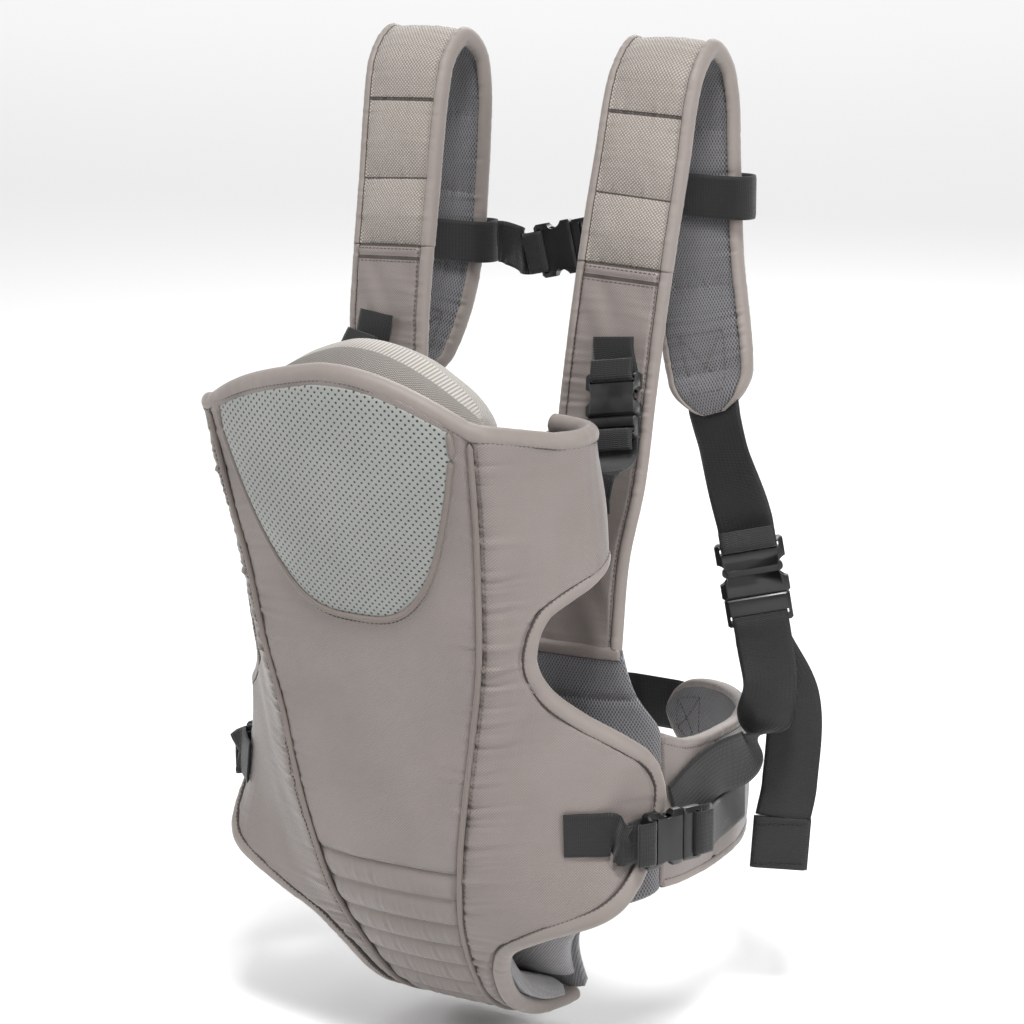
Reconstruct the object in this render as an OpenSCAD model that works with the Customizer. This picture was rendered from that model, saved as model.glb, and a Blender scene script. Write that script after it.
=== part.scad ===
// Soft front carrier for a baby: a pouch panel on two padded shoulder straps.
// Millimetres. X runs across the wearer; left and right are as seen from in front of the pouch, so right is +X.
// The pouch faces -Y and the wearer's back is at +Y. Z = 0 is the crest where the straps cross the shoulders.

/* [Overall size] */
// Drop from the crest of the shoulder straps to the seat
carrier_height = 690; // [575:5:828]
// Width of the ring round the waist
waist_width = 284; // [238:2:340]
// Depth from the front of the pouch to the back of the waist ring
carrier_depth = 442; // [370:2:530]

/* [Padding] */
// Width of each shoulder strap
strap_width = 70; // [60:1:84]
// Thickness of the foam in each shoulder strap
strap_thick = 15; // [12.5:0.5:18]
// Thickness of the quilted front layer of the pouch
panel_thick = 5; // [4:0.5:6]
// Thickness of the mesh lining inside the pouch
lining_thick = 4; // [3.5:0.5:5]
// Diameter of the tape that binds the edges
binding_d = 9; // [7.5:0.5:11]
// Thickness of the waist wings
wing_thick = 12; // [10:0.5:14.5]

/* [Webbing and buckles] */
// Width of the narrow webbing at the chest, shoulders and waist tabs
narrow_webbing = 30; // [25:1:36]
// Width of the wide webbing behind the shoulders and round the waist
wide_webbing = 40; // [34:1:48]
// Thickness of the webbing
webbing_thick = 1.8; // [1.5:0.1:2.2]
// Thickness of every buckle
buckle_thick = 10; // [9:0.5:12]

/* [Sub-part] */
// Sub-part to draw

/* [Hidden] */
$fn = 40;
gap = 0.3;
kx = waist_width / 284;
ky = carrier_depth / 442;
kz = carrier_height / 690;
fabric = [0.56, 0.53, 0.51];
mesh = [0.5, 0.51, 0.52];
black = [0.06, 0.06, 0.07];
pad_blue = [0.56, 0.6, 0.61];

// ---- smooth curves through a few stations: the first column is the distance along the curve ----
function seg(t, x, i = 0) = (i >= len(t) - 2 || x < t[i + 1][0]) ? i : seg(t, x, i + 1);
function slope(t, k, c) =
  let (a = max(k - 1, 0), b = min(k + 1, len(t) - 1)) (t[b][c] - t[a][c]) / (t[b][0] - t[a][0]);
function at(t, x, c = 1) =
  let (i = seg(t, x), h = t[i + 1][0] - t[i][0], u = min(1, max(0, (x - t[i][0]) / h)), v = u * u, w = v * u)
  t[i][c] * (2 * w - 3 * v + 1) + t[i + 1][c] * (3 * v - 2 * w)
  + h * slope(t, i, c) * (w - 2 * v + u) + h * slope(t, i + 1, c) * (w - v);
function unit(v) = v / norm(v);
function scaled(p) = [p[0] * kx, p[1] * ky, p[2] * kz];
function ramp(x) = min(1, max(0, x));

// ---- closed solids from grids of points ----
function total(v) = len(v) == 0 ? 0 : v * [for (i = v) 1];
function flat(g) = [for (row = g) for (p = row) p];
module closed(points, faces) {
  turned = total([for (f = faces) for (k = [1:len(f) - 2])
    points[f[0]] * cross(points[f[k]], points[f[k + 1]])]);
  polyhedron(points, turned < 0 ? faces : [for (f = faces) [for (k = [len(f) - 1:-1:0]) f[k]]]);
}

// A cushion or a layer of cloth between two grids of points, a outside and b inside
module layer(a, b) {
  nr = len(a);
  nc = len(a[0]);
  m = nr * nc;
  tris = concat(
    [for (r = [0:nr - 2]) for (c = [0:nc - 2]) each
      let (i = r * nc + c) [[i, i + 1, i + nc + 1], [i, i + nc + 1, i + nc],
        [m + i, m + i + nc + 1, m + i + 1], [m + i, m + i + nc, m + i + nc + 1]]],
    [for (c = [0:nc - 2]) each let (i = (nr - 1) * nc + c)
      [[m + c, m + c + 1, c + 1], [m + c, c + 1, c], [i, i + 1, m + i + 1], [i, m + i + 1, m + i]]],
    [for (r = [0:nr - 2]) each let (i = r * nc, j = r * nc + nc - 1)
      [[m + i, i, i + nc], [m + i, i + nc, m + i + nc], [j, m + j, m + j + nc], [j, m + j + nc, j + nc]]]);
  closed(concat(flat(a), flat(b)), tris);
}

// A closed tube through a list of rings of points
module tube(rings) {
  n = len(rings);
  k = len(rings[0]);
  sides = [for (i = [0:n - 2]) for (j = [0:k - 1]) each
    let (a = i * k + j, b = i * k + (j + 1) % k) [[a, b, b + k], [a, b + k, a + k]]];
  closed(flat(rings), concat(sides, [[for (j = [k - 1:-1:0]) j]], [[for (j = [0:k - 1]) (n - 1) * k + j]]));
}

// Bands run along stations [distance, place, width direction, half width, half thickness]
function along(t, x) = unit(at(t, x + 0.5) - at(t, x - 0.5));
function across(t, x) = let (d = along(t, x), w = at(t, x, 2)) unit(w - (w * d) * d);
function band_ring(t, x, shape) =
  let (w = across(t, x), b = cross(along(t, x), w))
  [for (c = shape) at(t, x) + w * c[0] * at(t, x, 3) + b * c[1] * at(t, x, 4)];
function steps(x0, x1, n) = [for (i = [0:n]) x0 + (x1 - x0) * i / n];
function bent(v, e) = sign(v) * pow(abs(v), e);
strip = [[-1, -1], [1, -1], [1, 1], [-1, 1]];
pad = [for (i = [0:13]) [bent(cos(i * 360 / 14 + 13), 0.45), bent(sin(i * 360 / 14 + 13), 0.75)]];
cord = [for (i = [0:7]) [cos(i * 45), sin(i * 45)]];
module band(t, xs, shape) tube([for (x = xs) band_ring(t, x, shape)]);

// ---- the pouch's front surface ----
// Stations down the panel: distance, height, depth and half width of the seam, sweep of the wing, bulge
front_st = [
  [190, -190, -268, 103, 64, 16], [238, -238, -259, 101, 62, 15], [300, -300, -244, 96.6, 60, 12],
  [350, -350, -232, 91, 56, 9], [400, -400, -224, 86, 50, 7], [450, -450, -217, 76.5, 44, 6],
  [500, -500, -213, 67.6, 37, 5], [535, -535, -208, 61, 30, 5], [575, -574, -198, 54, 14, 5],
  [600, -598, -187, 49, 6, 5], [640, -632, -165, 43, 0, 4], [680, -663, -138, 39, 0, 3],
  [720, -682, -103, 37, 0, 2], [760, -690, -64, 36, 0, 2], [790, -691, -34, 36, 0, 2]];
// How far the wings reach past the seam: the armhole, the waist tip and the leg hole
reach_st = [
  [190, 132], [238, 138], [300, 136], [318, 120], [337, 80], [350, 58], [362, 41], [382, 31], [403, 31],
  [425, 45], [445, 71], [461, 98], [475, 118], [490, 128], [505, 130], [535, 121], [555, 113], [572, 98],
  [590, 60], [609, 32], [630, 22], [651, 18], [690, 15], [790, 14]];
panel_end = 776;
function seam_x(w) = at(front_st, w, 3);
function reach(w) = at(reach_st, w);
function turn(d, w) =
  at(front_st, w, 4) * min(1, 0.25 + d / 14) + 105 * ramp((420 - w) / 60) * ramp((d - 70) / 48)
  + 30 * ramp((w - 430) / 40) * ramp((600 - w) / 40) * ramp((d - 84) / 40);
function wing_xy(d, w, n, i = 0, x = 0, y = 0) =
  i >= n ? [x, y]
  : let (a = turn((i + 0.5) * d / n, w)) wing_xy(d, w, n, i + 1, x + cos(a) * d / n, y + sin(a) * d / n);
function front(s, w) =
  let (q = seam_x(w), y = at(front_st, w, 2), z = at(front_st, w, 1), e = abs(s) - q)
  scaled(e <= 0 ? [s, y - at(front_st, w, 5) * (1 - s * s / (q * q)), z]
    : let (p = wing_xy(e, w, 12)) [sign(s) * (q + p[0]), y + p[1], z]);
function front_out(s, w) =
  unit(cross(front(s, w + 0.5) - front(s, w - 0.5), front(s + 0.5, w) - front(s - 0.5, w)));
function off(s, w, h) = front(s, w) + front_out(s, w) * h;
// The top edge: high in the middle, lower at the seams and out along the wings
function top_w(s) = 198 + 38 * pow(ramp(abs(s) / 101), 1.7) + 12 * ramp((abs(s) - 101) / 60);
function rows(w0, w1, n, s) = [for (t = [0:n]) w0 + (w1 - w0) * t / n];
// Row of the pouch, t from 0 at the top edge to 1 at the far end, moved so that it starts on the top edge
function drop(s, w) = w + (top_w(s) - 236) * pow(ramp((400 - w) / 164), 1.5);

module front_centre_panel()
  color(fabric)
    layer(
      [for (w = steps(236, 550, 20)) [for (u = steps(-1, 1, 12)) let (s = u * (seam_x(w) - gap / 2))
        off(s, drop(s, w), panel_thick)]],
      [for (w = steps(236, 550, 20)) [for (u = steps(-1, 1, 12)) let (s = u * (seam_x(w) - gap / 2))
        off(s, drop(s, w), 0)]]);

// Padded channels across the lower end of the pouch
rib_pitch = 36;
function rib(w) = 2 * pow(abs(sin((w - 551) * 180 / rib_pitch)), 0.6);
module rib_band()
  color(fabric)
    layer(
      [for (w = steps(551, panel_end, 36)) [for (u = steps(-1, 1, 6)) let (s = u * (seam_x(w) - gap / 2))
        off(s, w, panel_thick - 1.2 + rib(w))]],
      [for (w = steps(551, panel_end, 36)) [for (u = steps(-1, 1, 6)) let (s = u * (seam_x(w) - gap / 2))
        off(s, w, 0)]]);

wing_cols = [0, 0.2, 0.4, 0.52, 0.64, 0.76, 0.88, 1];
lining_cols = concat([for (i = [7:-1:1]) [-1, wing_cols[i]]], [for (i = [-3:3]) [0, i / 3]],
  [for (i = [1:7]) [1, wing_cols[i]]]);
function lining_s(c, w) = c[0] == 0 ? c[1] * seam_x(w) : c[0] * (seam_x(w) + c[1] * reach(w));
wing_rows = concat(steps(236, 310, 4), steps(320, 480, 14), steps(495, 555, 4), steps(566, 626, 6),
  steps(650, panel_end, 5));
module front_wing(side)
  color(fabric)
    layer(
      [for (w = wing_rows) [for (u = side > 0 ? wing_cols : [for (i = [7:-1:0]) wing_cols[i]])
        let (s = side * (seam_x(w) + max(gap / 2, u * reach(w)))) off(s, drop(s, w), panel_thick)]],
      [for (w = wing_rows) [for (u = side > 0 ? wing_cols : [for (i = [7:-1:0]) wing_cols[i]])
        let (s = side * (seam_x(w) + max(gap / 2, u * reach(w)))) off(s, drop(s, w), 0)]]);

module pouch_lining()
  color(mesh)
    layer(
      [for (w = wing_rows) [for (c = lining_cols) let (s = lining_s(c, w)) off(s, drop(s, w), -gap)]],
      [for (w = wing_rows) [for (c = lining_cols) let (s = lining_s(c, w)) off(s, drop(s, w), -gap - lining_thick)]]);

// The soft perforated pad that the baby's head rests behind
pad_half = 86;
function pad_low(s) = 368 - 118 * pow(abs(s) / pad_half, 3.4);
module head_pad()
  color(pad_blue)
    layer(
      [for (t = steps(0, 1, 14)) [for (u = steps(-1, 1, 14)) let (s = u * pad_half, w0 = top_w(s) + 9,
        w = w0 + (pad_low(s) - w0) * t)
        off(s, w, panel_thick + gap + 0.6 + 3.4 * pow(ramp(4 * t * (1 - t)) * (1 - pow(abs(u), 4)), 0.4))]],
      [for (t = steps(0, 1, 14)) [for (u = steps(-1, 1, 14)) let (s = u * pad_half, w0 = top_w(s) + 9,
        w = w0 + (pad_low(s) - w0) * t) off(s, w, panel_thick + gap)]]);

// Bound edges: a tape folded over the raw edge, laid just clear of the layers it closes
mid = (panel_thick - lining_thick - gap) / 2;
br = binding_d / 2;
function edge_ring(p, d, n) =
  let (u = unit(n - (n * d) * d), v = cross(d, u)) [for (c = cord) p + u * c[0] * br * 1.25 + v * c[1] * br * 0.9];
function path_tube(p, n) =
  [for (i = [0:len(p) - 1]) edge_ring(p[i], unit(p[min(i + 1, len(p) - 1)] - p[max(i - 1, 0)]), n[i])];
top_s = steps(-1, 1, 44);
function top_reach(u) = u * (seam_x(236) + reach(236) + 1);
module top_binding()
  color(fabric)
    tube(path_tube(
      [for (u = top_s) let (s = top_reach(u), w = top_w(s))
        off(s, w, mid) + unit(off(s, w - 3, mid) - off(s, w + 3, mid)) * (br + gap)],
      [for (u = top_s) let (s = top_reach(u)) front_out(s, top_w(s))]));

side_rows = concat(steps(250, 320, 5), steps(330, 500, 24), steps(512, 560, 4), steps(568, 626, 9),
  steps(645, panel_end, 7));
module side_binding(side)
  color(fabric)
    tube(path_tube(
      [for (w = side_rows) let (s = side * (seam_x(w) + reach(w)),
        a = side * (seam_x(w - 2) + reach(w - 2)), b = side * (seam_x(w + 2) + reach(w + 2)),
        e = unit(front(b, drop(b, w + 2)) - front(a, drop(a, w - 2))), o = front_out(s, drop(s, w)))
        off(s, drop(s, w), mid) + side * unit(cross(o, e)) * (br + gap + 0.5)],
      [for (w = side_rows) let (s = side * (seam_x(w) + reach(w))) front_out(s, drop(s, w))]));

piping_r = 2;
module seam_piping(side)
  color(fabric)
    tube([for (w = steps(240, panel_end - 4, 46))
      let (s = side * seam_x(w), o = front_out(s + side * 0.2, drop(s, w)),
        d = unit(front(side * seam_x(w + 2), w + 2) - front(side * seam_x(w - 2), w - 2)), v = cross(d, o),
        c = off(s, drop(s, w), panel_thick + gap + piping_r + 0.9))
      [for (k = [0:5]) c + piping_r * (o * cos(k * 60) + v * sin(k * 60))]]);

// The thick cushion inside the top of the pouch, which stands a little above its edge
module headrest_cushion() {
  half = 92;
  color(mesh)
    layer(
      [for (t = steps(0, 1, 10)) [for (u = steps(-1, 1, 14)) let (s = u * half * (0.62 + 0.38 * pow(ramp(t * 3), 0.5)),
        w = top_w(s) + 6 + (338 - top_w(s)) * t) cushion_face(u, t, s, w, 1)]],
      [for (t = steps(0, 1, 10)) [for (u = steps(-1, 1, 14)) let (s = u * half * (0.62 + 0.38 * pow(ramp(t * 3), 0.5)),
        w = top_w(s) + 6 + (338 - top_w(s)) * t) cushion_face(u, t, s, w, 0)]]);
}
// Face 1 follows the lining; face 0 bulges towards the baby and rises at the top
function cushion_face(u, t, s, w, outer) =
  let (swell = pow(ramp((1 - pow(abs(u), 3.2)) * ramp(t * 6 + 0.06) * ramp((1 - t) * 3)), 0.5),
    base = off(s, w, -lining_thick - 2 * gap - 1), crown = 30 * pow(1 - t, 3) * (1 - 0.35 * u * u))
  outer == 1 ? base + [0, 16 * pow(1 - t, 4), 0.45 * crown]
    : base + [0, 4 + 62 * swell + 14 * pow(1 - t, 4), 0.75 * crown * (1 - ramp(1 - t * 5) * 0.3)];

// ---- the wearer's side: the waist ring and the panel that rises from it ----
// Half of the ring from the front middle to the back middle: distance, place
ring_st = [
  [0, [0, -120, 0]], [60, [60, -117, 0]], [112, [110, -103, 0]], [150, [136, -76, 0]], [191, [142, -36, 0]],
  [227, [141, 0, 0]], [270, [135, 42, 0]], [317, [116, 84, 0]], [370, [80, 124, 0]], [418, [38, 149, 0]],
  [440, [18, 155, 0]]];
function ring(q) = let (p = at(ring_st, abs(q))) [sign(q) * p[0], p[1], 0];
function ring_x(q) = q == 0 ? [0, -120, 0] : ring(q);
function ring_out(q) =
  let (a = abs(q), d = at(ring_st, a + 0.5) - at(ring_st, a - 0.5), n = unit([d[1] / ky, -d[0] / kx, 0]))
  [(q < 0 ? -1 : 1) * n[0], n[1], 0];
// Stations up the wearer's panel: height, half width along the ring, shift back, how far it follows the ring
wearer_st = [
  [-690, 60, 80, 0.3], [-670, 65, 62, 0.4], [-640, 74, 38, 0.6], [-620, 86, 22, 0.8], [-600, 110, 8, 1],
  [-585, 150, 0, 1], [-475, 150, 0, 1], [-440, 134, 3, 0.7], [-412, 128, 5, 0.4]];
function wearer(q, z) =
  let (p = ring_x(q), k = at(wearer_st, z, 3)) scaled([p[0], -120 + (p[1] + 120) * k + at(wearer_st, z, 2), z]);
// The panel ends where the waist wings start
ring_seam = 150;
function wearer_half(z) = min(ring_seam - gap / 2, at(wearer_st, z));
function wearer_out(q, z) = unit(cross(wearer(q + 1, z) - wearer(q - 1, z), wearer(q, z + 1) - wearer(q, z - 1)));
module wearer_panel_mesh() {
  zs = concat(steps(-411.3, -475, 5), steps(-490, -585, 5), steps(-596, -682, 7));
  color(mesh)
    layer(
      [for (z = zs) [for (u = steps(-1, 1, 14)) let (q = u * wearer_half(z)) wearer(q, z) + 5 * wearer_out(q, z)]],
      [for (z = zs) [for (u = steps(-1, 1, 14)) let (q = u * wearer_half(z)) wearer(q, z) - 5 * wearer_out(q, z)]]);
}
module wearer_panel_upper() {
  half = 54 * kx - (strap_width - 70) / 2;
  zs = steps(-300, -411, 5);
  color(fabric)
    layer(
      [for (z = zs) [for (u = steps(-1, 1, 8)) [u * half, (-114 + (z + 411) * 0.1 + 2 * u * u) * ky - 4, z * kz]]],
      [for (z = zs) [for (u = steps(-1, 1, 8)) [u * half, (-114 + (z + 411) * 0.1 + 2 * u * u) * ky + 4, z * kz]]]);
}

// Padded rolls of mesh beside the leg holes
pad_back = br * 1.25 - mid + gap + 0.1;
module crotch_pad_front() {
  ws = steps(596, panel_end - 26, 12);
  color(mesh)
    layer(
      [for (w = ws) [for (u = steps(-1, 1, 14)) let (s = u * (seam_x(w) + at([[596, 16], [640, 22], [780, 24]], w)))
        off(s, w, -pad_back)]],
      [for (w = ws) [for (u = steps(-1, 1, 14)) let (s = u * (seam_x(w) + at([[596, 16], [640, 22], [780, 24]], w)))
        off(s, w, -pad_back - 2
          - 14 * pow(ramp((1 - pow(abs(u), 8)) * ramp((w - 594) / 40) * ramp((778 - w) / 60)), 0.5))]]);
}
module crotch_pad_back() {
  zs = steps(-598, -662, 8);
  color(mesh)
    layer(
      [for (z = zs) [for (u = steps(-1, 1, 12)) let (q = u * (wearer_half(z) - 3))
        wearer(q, z) + wearer_out(q, z) * (7.6
          + 11 * pow(ramp((1 - pow(abs(u), 6)) * ramp((-596 - z) / 24) * ramp((z + 666) / 20)), 0.5))]],
      [for (z = zs) [for (u = steps(-1, 1, 12)) let (q = u * (wearer_half(z) - 3))
        wearer(q, z) + wearer_out(q, z) * (5 + 2 * gap)]]);
}

// Waist wings: long padded arms with rounded ends
wing_top_st = [[152, -476], [180, -486], [240, -491], [320, -494], [380, -499], [415, -506], [432, -516], [440, -528]];
wing_low_st = [[152, -585], [180, -586], [240, -586], [320, -582], [380, -574], [415, -562], [432, -550], [440, -538]];
module waist_wing(side) {
  qs = concat(steps(ring_seam + 3 * gap, 380, 17), [394, 406, 417, 426, 433, 438, 440]);
  t = wing_thick / 2;
  color(fabric)
    layer(
      [for (q = qs) [for (v = steps(0, 1, 8)) wing_point(side, q, v, t)]],
      [for (q = qs) [for (v = steps(0, 1, 8)) wing_point(side, q, v, -t)]]);
}
function wing_point(side, q, v, h) =
  let (p = ring(side * q), top = at(wing_top_st, q), low = at(wing_low_st, q),
    fat = 0.35 + 0.65 * pow(4 * v * (1 - v), 0.4))
  scaled([p[0], p[1], top + (low - top) * v]) + ring_out(side * q) * h * fat;

module waist_belt_webbing() {
  n = ring_out(440);
  y = wing_thick / 2 + webbing_thick / 2 + gap + 0.4;
  h = webbing_thick / 2;
  q = 340;
  pts = concat([for (a = steps(-q, -440, 9)) a], [440 - 1e-3], [for (a = steps(432, q, 8)) a]);
  place = [for (a = pts) scaled(ring(a) + [0, 0, -532]) + ring_out(a) * y];
  color(black)
    tube([for (i = [0:len(pts) - 1])
      let (o = ring_out(pts[i])) [for (c = strip) place[i] + o * c[0] * h + [0, 0, c[1] * wide_webbing / 2]]]);
}

// ---- shoulder straps: [distance, middle of the pad, width direction, half width, half thickness] ----
hs = strap_width / 2;
ht = strap_thick / 2;
function strap_st(side) = [for (p = [
  [0, 89, -110, -410, 1, 0.85], [60, 89, -101, -350, 1, 0.85], [115, 90, -82, -300, 1, 0.85],
  [176, 91, -70, -240, 1, 0.9], [216, 93, -64, -200, 1, 0.95], [258, 94.5, -56, -160, 1, 1],
  [299, 96, -47, -120, 1, 1], [340, 98, -38, -80, 1, 1], [372, 99, -31, -48, 1, 1], [396, 100, -22, -26, 1, 1],
  [424, 100, -2, -11, 1, 1], [450, 100, 19, -24, 1, 1], [478, 101, 27, -50, 1, 1], [510, 102, 27.5, -82, 1, 1],
  [550, 104, 27, -122, 1, 1], [590, 107, 26.2, -162, 1, 1], [632, 114, 23, -203, 1, 1],
  [668, 123, 16, -238, 0.94, 0.95], [682, 127, 11, -251, 0.78, 0.85], [691, 129.5, 9, -260, 0.5, 0.7],
  [696, 131, 8, -264.5, 0.24, 0.5]])
  [p[0], scaled([side * p[1], p[2], p[3]]), [1, side * at([[0, 0.1], [300, 0.1], [424, 0], [632, 0], [696, -0.03]], p[0]), 0],
    hs * p[4], ht * p[5]]];
strap_join = 262;
module strap_pad(side)
  color(fabric)
    band(strap_st(side), concat(steps(strap_join + gap, 390, 5), steps(400, 475, 8), steps(495, 655, 8),
      [668, 676, 683, 688, 692, 695]), pad);
module strap_lower(side)
  color(fabric)
    band(strap_st(side), steps(0.4, strap_join, 9), pad);

// ---- side-release buckles ----
// Local axes: x along the pull from female to male, y across the webbing, z out of the face; x = 0 at the mouth
function fem_len(w) = w;
function male_len(w) = 0.5 * w;
function wide(w) = w + 9;
slot = 4.4;
bar = 3;
bh = buckle_thick / 2;
module place(f) multmatrix([
  [f[1][0], f[2][0], f[3][0], f[0][0]], [f[1][1], f[2][1], f[3][1], f[0][1]],
  [f[1][2], f[2][2], f[3][2], f[0][2]], [0, 0, 0, 1]]) children();
// A frame is [mouth, x axis, y axis, z axis], from the mouth, the pull and the rough outward direction
function frame(o, x, z) = let (a = unit(x), c = unit(z - (z * a) * a)) [o, a, cross(c, a), c];
function spot(f, p) = f[0] + f[1] * p[0] + f[2] * p[1] + f[3] * p[2];
function window_x(w) = -0.46 * w;
module female(w) {
  l = fem_len(w);
  b = wide(w);
  color(black)
    difference() {
      hull() {
        translate([-l, -b / 2 + 2, -bh + 1.5]) cube([l, b - 4, 2 * bh - 3]);
        translate([-l + 1.5, -b / 2, -bh + 2.5]) cube([l - 3, b, 2 * bh - 5]);
        translate([-l + 2, -b / 2 + 4, -bh]) cube([l - 4, b - 8, 2 * bh]);
      }
      translate([-l + bar, -w / 2 - 1, -bh - 1]) cube([slot, w + 2, 2 * bh + 2]);
      translate([-l + bar + slot + 3, -w / 2 - 1.2, -bh + 2]) cube([l, w + 2.4, 2 * bh - 4]);
      for (m = [-1, 1])
        translate([window_x(w), m * (b / 2 + 1), -bh - 1]) cylinder(r = w * 0.19, h = 2 * bh + 2);
    }
}
module male(w) {
  l = male_len(w);
  b = wide(w) - 2;
  color(black)
    difference() {
      hull() {
        translate([0.3, -b / 2 + 1.5, -bh + 1.5]) cube([l, b - 3, 2 * bh - 3]);
        translate([1.3, -b / 2, -bh + 2.5]) cube([l - 2, b, 2 * bh - 5]);
        translate([1.5, -b / 2 + 3, -bh + 0.5]) cube([l - 3, b - 6, 2 * bh - 1]);
      }
      translate([l - bar - slot, -w / 2 - 1, -bh - 1]) cube([slot, w + 2, 2 * bh + 2]);
    }
}
// The sprung fork: two arms with rounded barbs that sit in the windows, and a guide between them
module latch(w) {
  a = w * 0.5 - 1.6;
  t = 2 * bh - 5;
  root = 3.2;
  color(black)
    union() {
      translate([-root, -w / 2 + 2, -t / 2]) cube([root + 0.3, w - 4, t]);
      for (m = [-1, 1]) {
        translate([window_x(w) - 1, m * (a - 1.6) - 1.6, -t / 2]) cube([-window_x(w) + 1 - root / 2, 3.2, t]);
        translate([window_x(w) - 0.5, m * a, -t / 2]) cylinder(r = w * 0.085, h = t);
      }
      translate([window_x(w) * 1.25, -2.5, -t / 2]) cube([-window_x(w) * 1.25 - root / 2, 5, t]);
    }
}
// Webbing that wraps a bar: points in a buckle's own axes, then the rest of its way in the carrier's axes
wt = webbing_thick / 2;
function fem_loop(f, w) =
  let (l = fem_len(w), e = bh + 0.4 + wt, m = -l + bar + slot / 2)
  [for (p = [[-l - 14, -e + 2.4], [-l + 0.4, -e], [m - 0.2, -e + 0.6], [m, -2], [m, 2], [m - 0.2, e - 0.6],
    [-l + 0.4, e], [-l - 9, e - 1.2]]) spot(f, [p[0], 0, p[1]])];
function male_loop(f, w, face = 1) =
  let (l = male_len(w), e = bh + 0.4 + wt, m = l - bar - slot / 2 + 0.1)
  [for (p = [[l + 9, e - 1.6], [l - 0.4, e - 0.3], [m + 0.3, e - 1.4], [m, 2], [m, -2], [m + 0.3, -e + 1.2],
    [l - 0.4, -e], [l + 12, -e + 1]]) spot(f, [p[0], 0, face * p[1]])];
function lengths(p, i = 0, s = 0) = i >= len(p) ? [] : concat([s], lengths(p, i + 1, i + 1 < len(p) ? s + norm(p[i + 1] - p[i]) : s));
function web_st(p, dirs, half) = let (d = lengths(p)) [for (i = [0:len(p) - 1]) [d[i], p[i], dirs[i], half, wt]];
module webbing(p, dirs, w, n) {
  t = web_st(p, dirs, w / 2);
  color(black) band(t, steps(0, t[len(t) - 1][0], n), strip);
}

// ---- where the buckles sit; side is 1 for +X and -1 for -X ----
function turned(side, v) = [side * v[0], v[1], v[2]];
function shoulder_at(side) =
  frame(scaled([side * 109, -94, -252]), turned(side, [0.2, -0.36, -0.91]), turned(side, [0.16, -0.95, 0.3]));
function waist_at(side) =
  side > 0 ? frame(scaled([170, -118, -524]) + [13, -10, 0], [0.4, 0.92, 0], [0.92, -0.4, 0])
  : frame(scaled([-168, -94, -524]) + [-6, 0, 0], [0.17, 0.98, 0], [-0.98, 0.17, 0]);
function rear_at(side) =
  frame(scaled([side * 152, 36, -398]), turned(side, [0.16, 0.07, -0.98]), turned(side, [0.5, -0.86, 0.02]));
chest_at = frame(scaled([-1, 40, -160]), [0.94, 0.06, 0.22], [0.05, -1, 0]);
function across_of(f) = f[2];
module pair_place(f) place(f) children();

module shoulder_tab(side) {
  f = shoulder_at(side);
  l = fem_loop(f, narrow_webbing);
  face = [0, -ht * 0.95 - wt - 2, 0];
  pts = concat([scaled([side * 97, -64.5, -201]) + face, scaled([side * 98, -66, -210]) + face],
    [for (i = [1:len(l) - 1]) l[i]]);
  webbing(pts, [for (i = [0:len(pts) - 1]) i < 2 ? turned(side, [1, 0.1, 0]) : across_of(f) * side],
    narrow_webbing, 34);
}
module pouch_tab(side) {
  f = shoulder_at(side);
  l = male_loop(f, narrow_webbing);
  h = panel_thick + gap + wt;
  w = 288;
  s = side * (seam_x(w) + 114);
  flat = side * unit(off(s - side * 4, w, h) - off(s + side * 4, w, h));
  pts = concat(l, [off(s, w - 6, h + 6), off(s, w + 6, h + 1.4), off(s, w + 16, h + 0.6)]);
  n = len(pts);
  webbing(pts, [for (i = [0:n - 1]) i < n - 3 ? across_of(f) * side
    : side * flat],
    narrow_webbing, 34);
}
module waist_tab(side) {
  f = waist_at(side);
  l = fem_loop(f, narrow_webbing);
  w = 520;
  h = panel_thick + gap + wt + 1.9;
  way = side > 0 ? [66, 74, 82, 90, 98] : [96, 102, 108, 114, 120, 126];
  lift = side > 0 ? 76 : 96;
  sewn = [for (d = way) off(side * (seam_x(w) + d), w, h + pow(ramp((d - lift) / 30), 2) * 5)];
  tilt = [for (d = way) unit(off(side * (seam_x(w) + d), w - 10, h) - off(side * (seam_x(w) + d), w + 10, h))];
  pts = concat(sewn, l);
  webbing(pts, [for (i = [0:len(pts) - 1]) i < len(way) ? tilt[i] : [0, 0, 1]], narrow_webbing, 46);
}
module waist_webbing(side) {
  f = waist_at(side);
  l = male_loop(f, narrow_webbing);
  h = wing_thick / 2 + wt + 1;
  function on_ring(q, z) = scaled([ring(side * q)[0], ring(side * q)[1], z]) + ring_out(side * q) * h;
  pts = concat(l, [scaled([side * 173, -66, -538]), on_ring(206, -549) + turned(side, [4, 0, 0]),
    on_ring(232, -551), on_ring(262, -550)]);
  webbing(pts, [for (i = [0:len(pts) - 1]) [0, 0, 1]], narrow_webbing, 44);
}

module rear_webbing(side) {
  f = rear_at(side);
  l = fem_loop(f, wide_webbing);
  pts = concat([scaled([side * 131, 9, -266.5]) + [0, 0, -1], scaled([side * 136, 14, -292])], l);
  webbing(pts, [for (i = [0:len(pts) - 1]) i < 2 ? turned(side, [1, 0, 0]) : across_of(f) * side],
    wide_webbing, 40);
}
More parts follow.
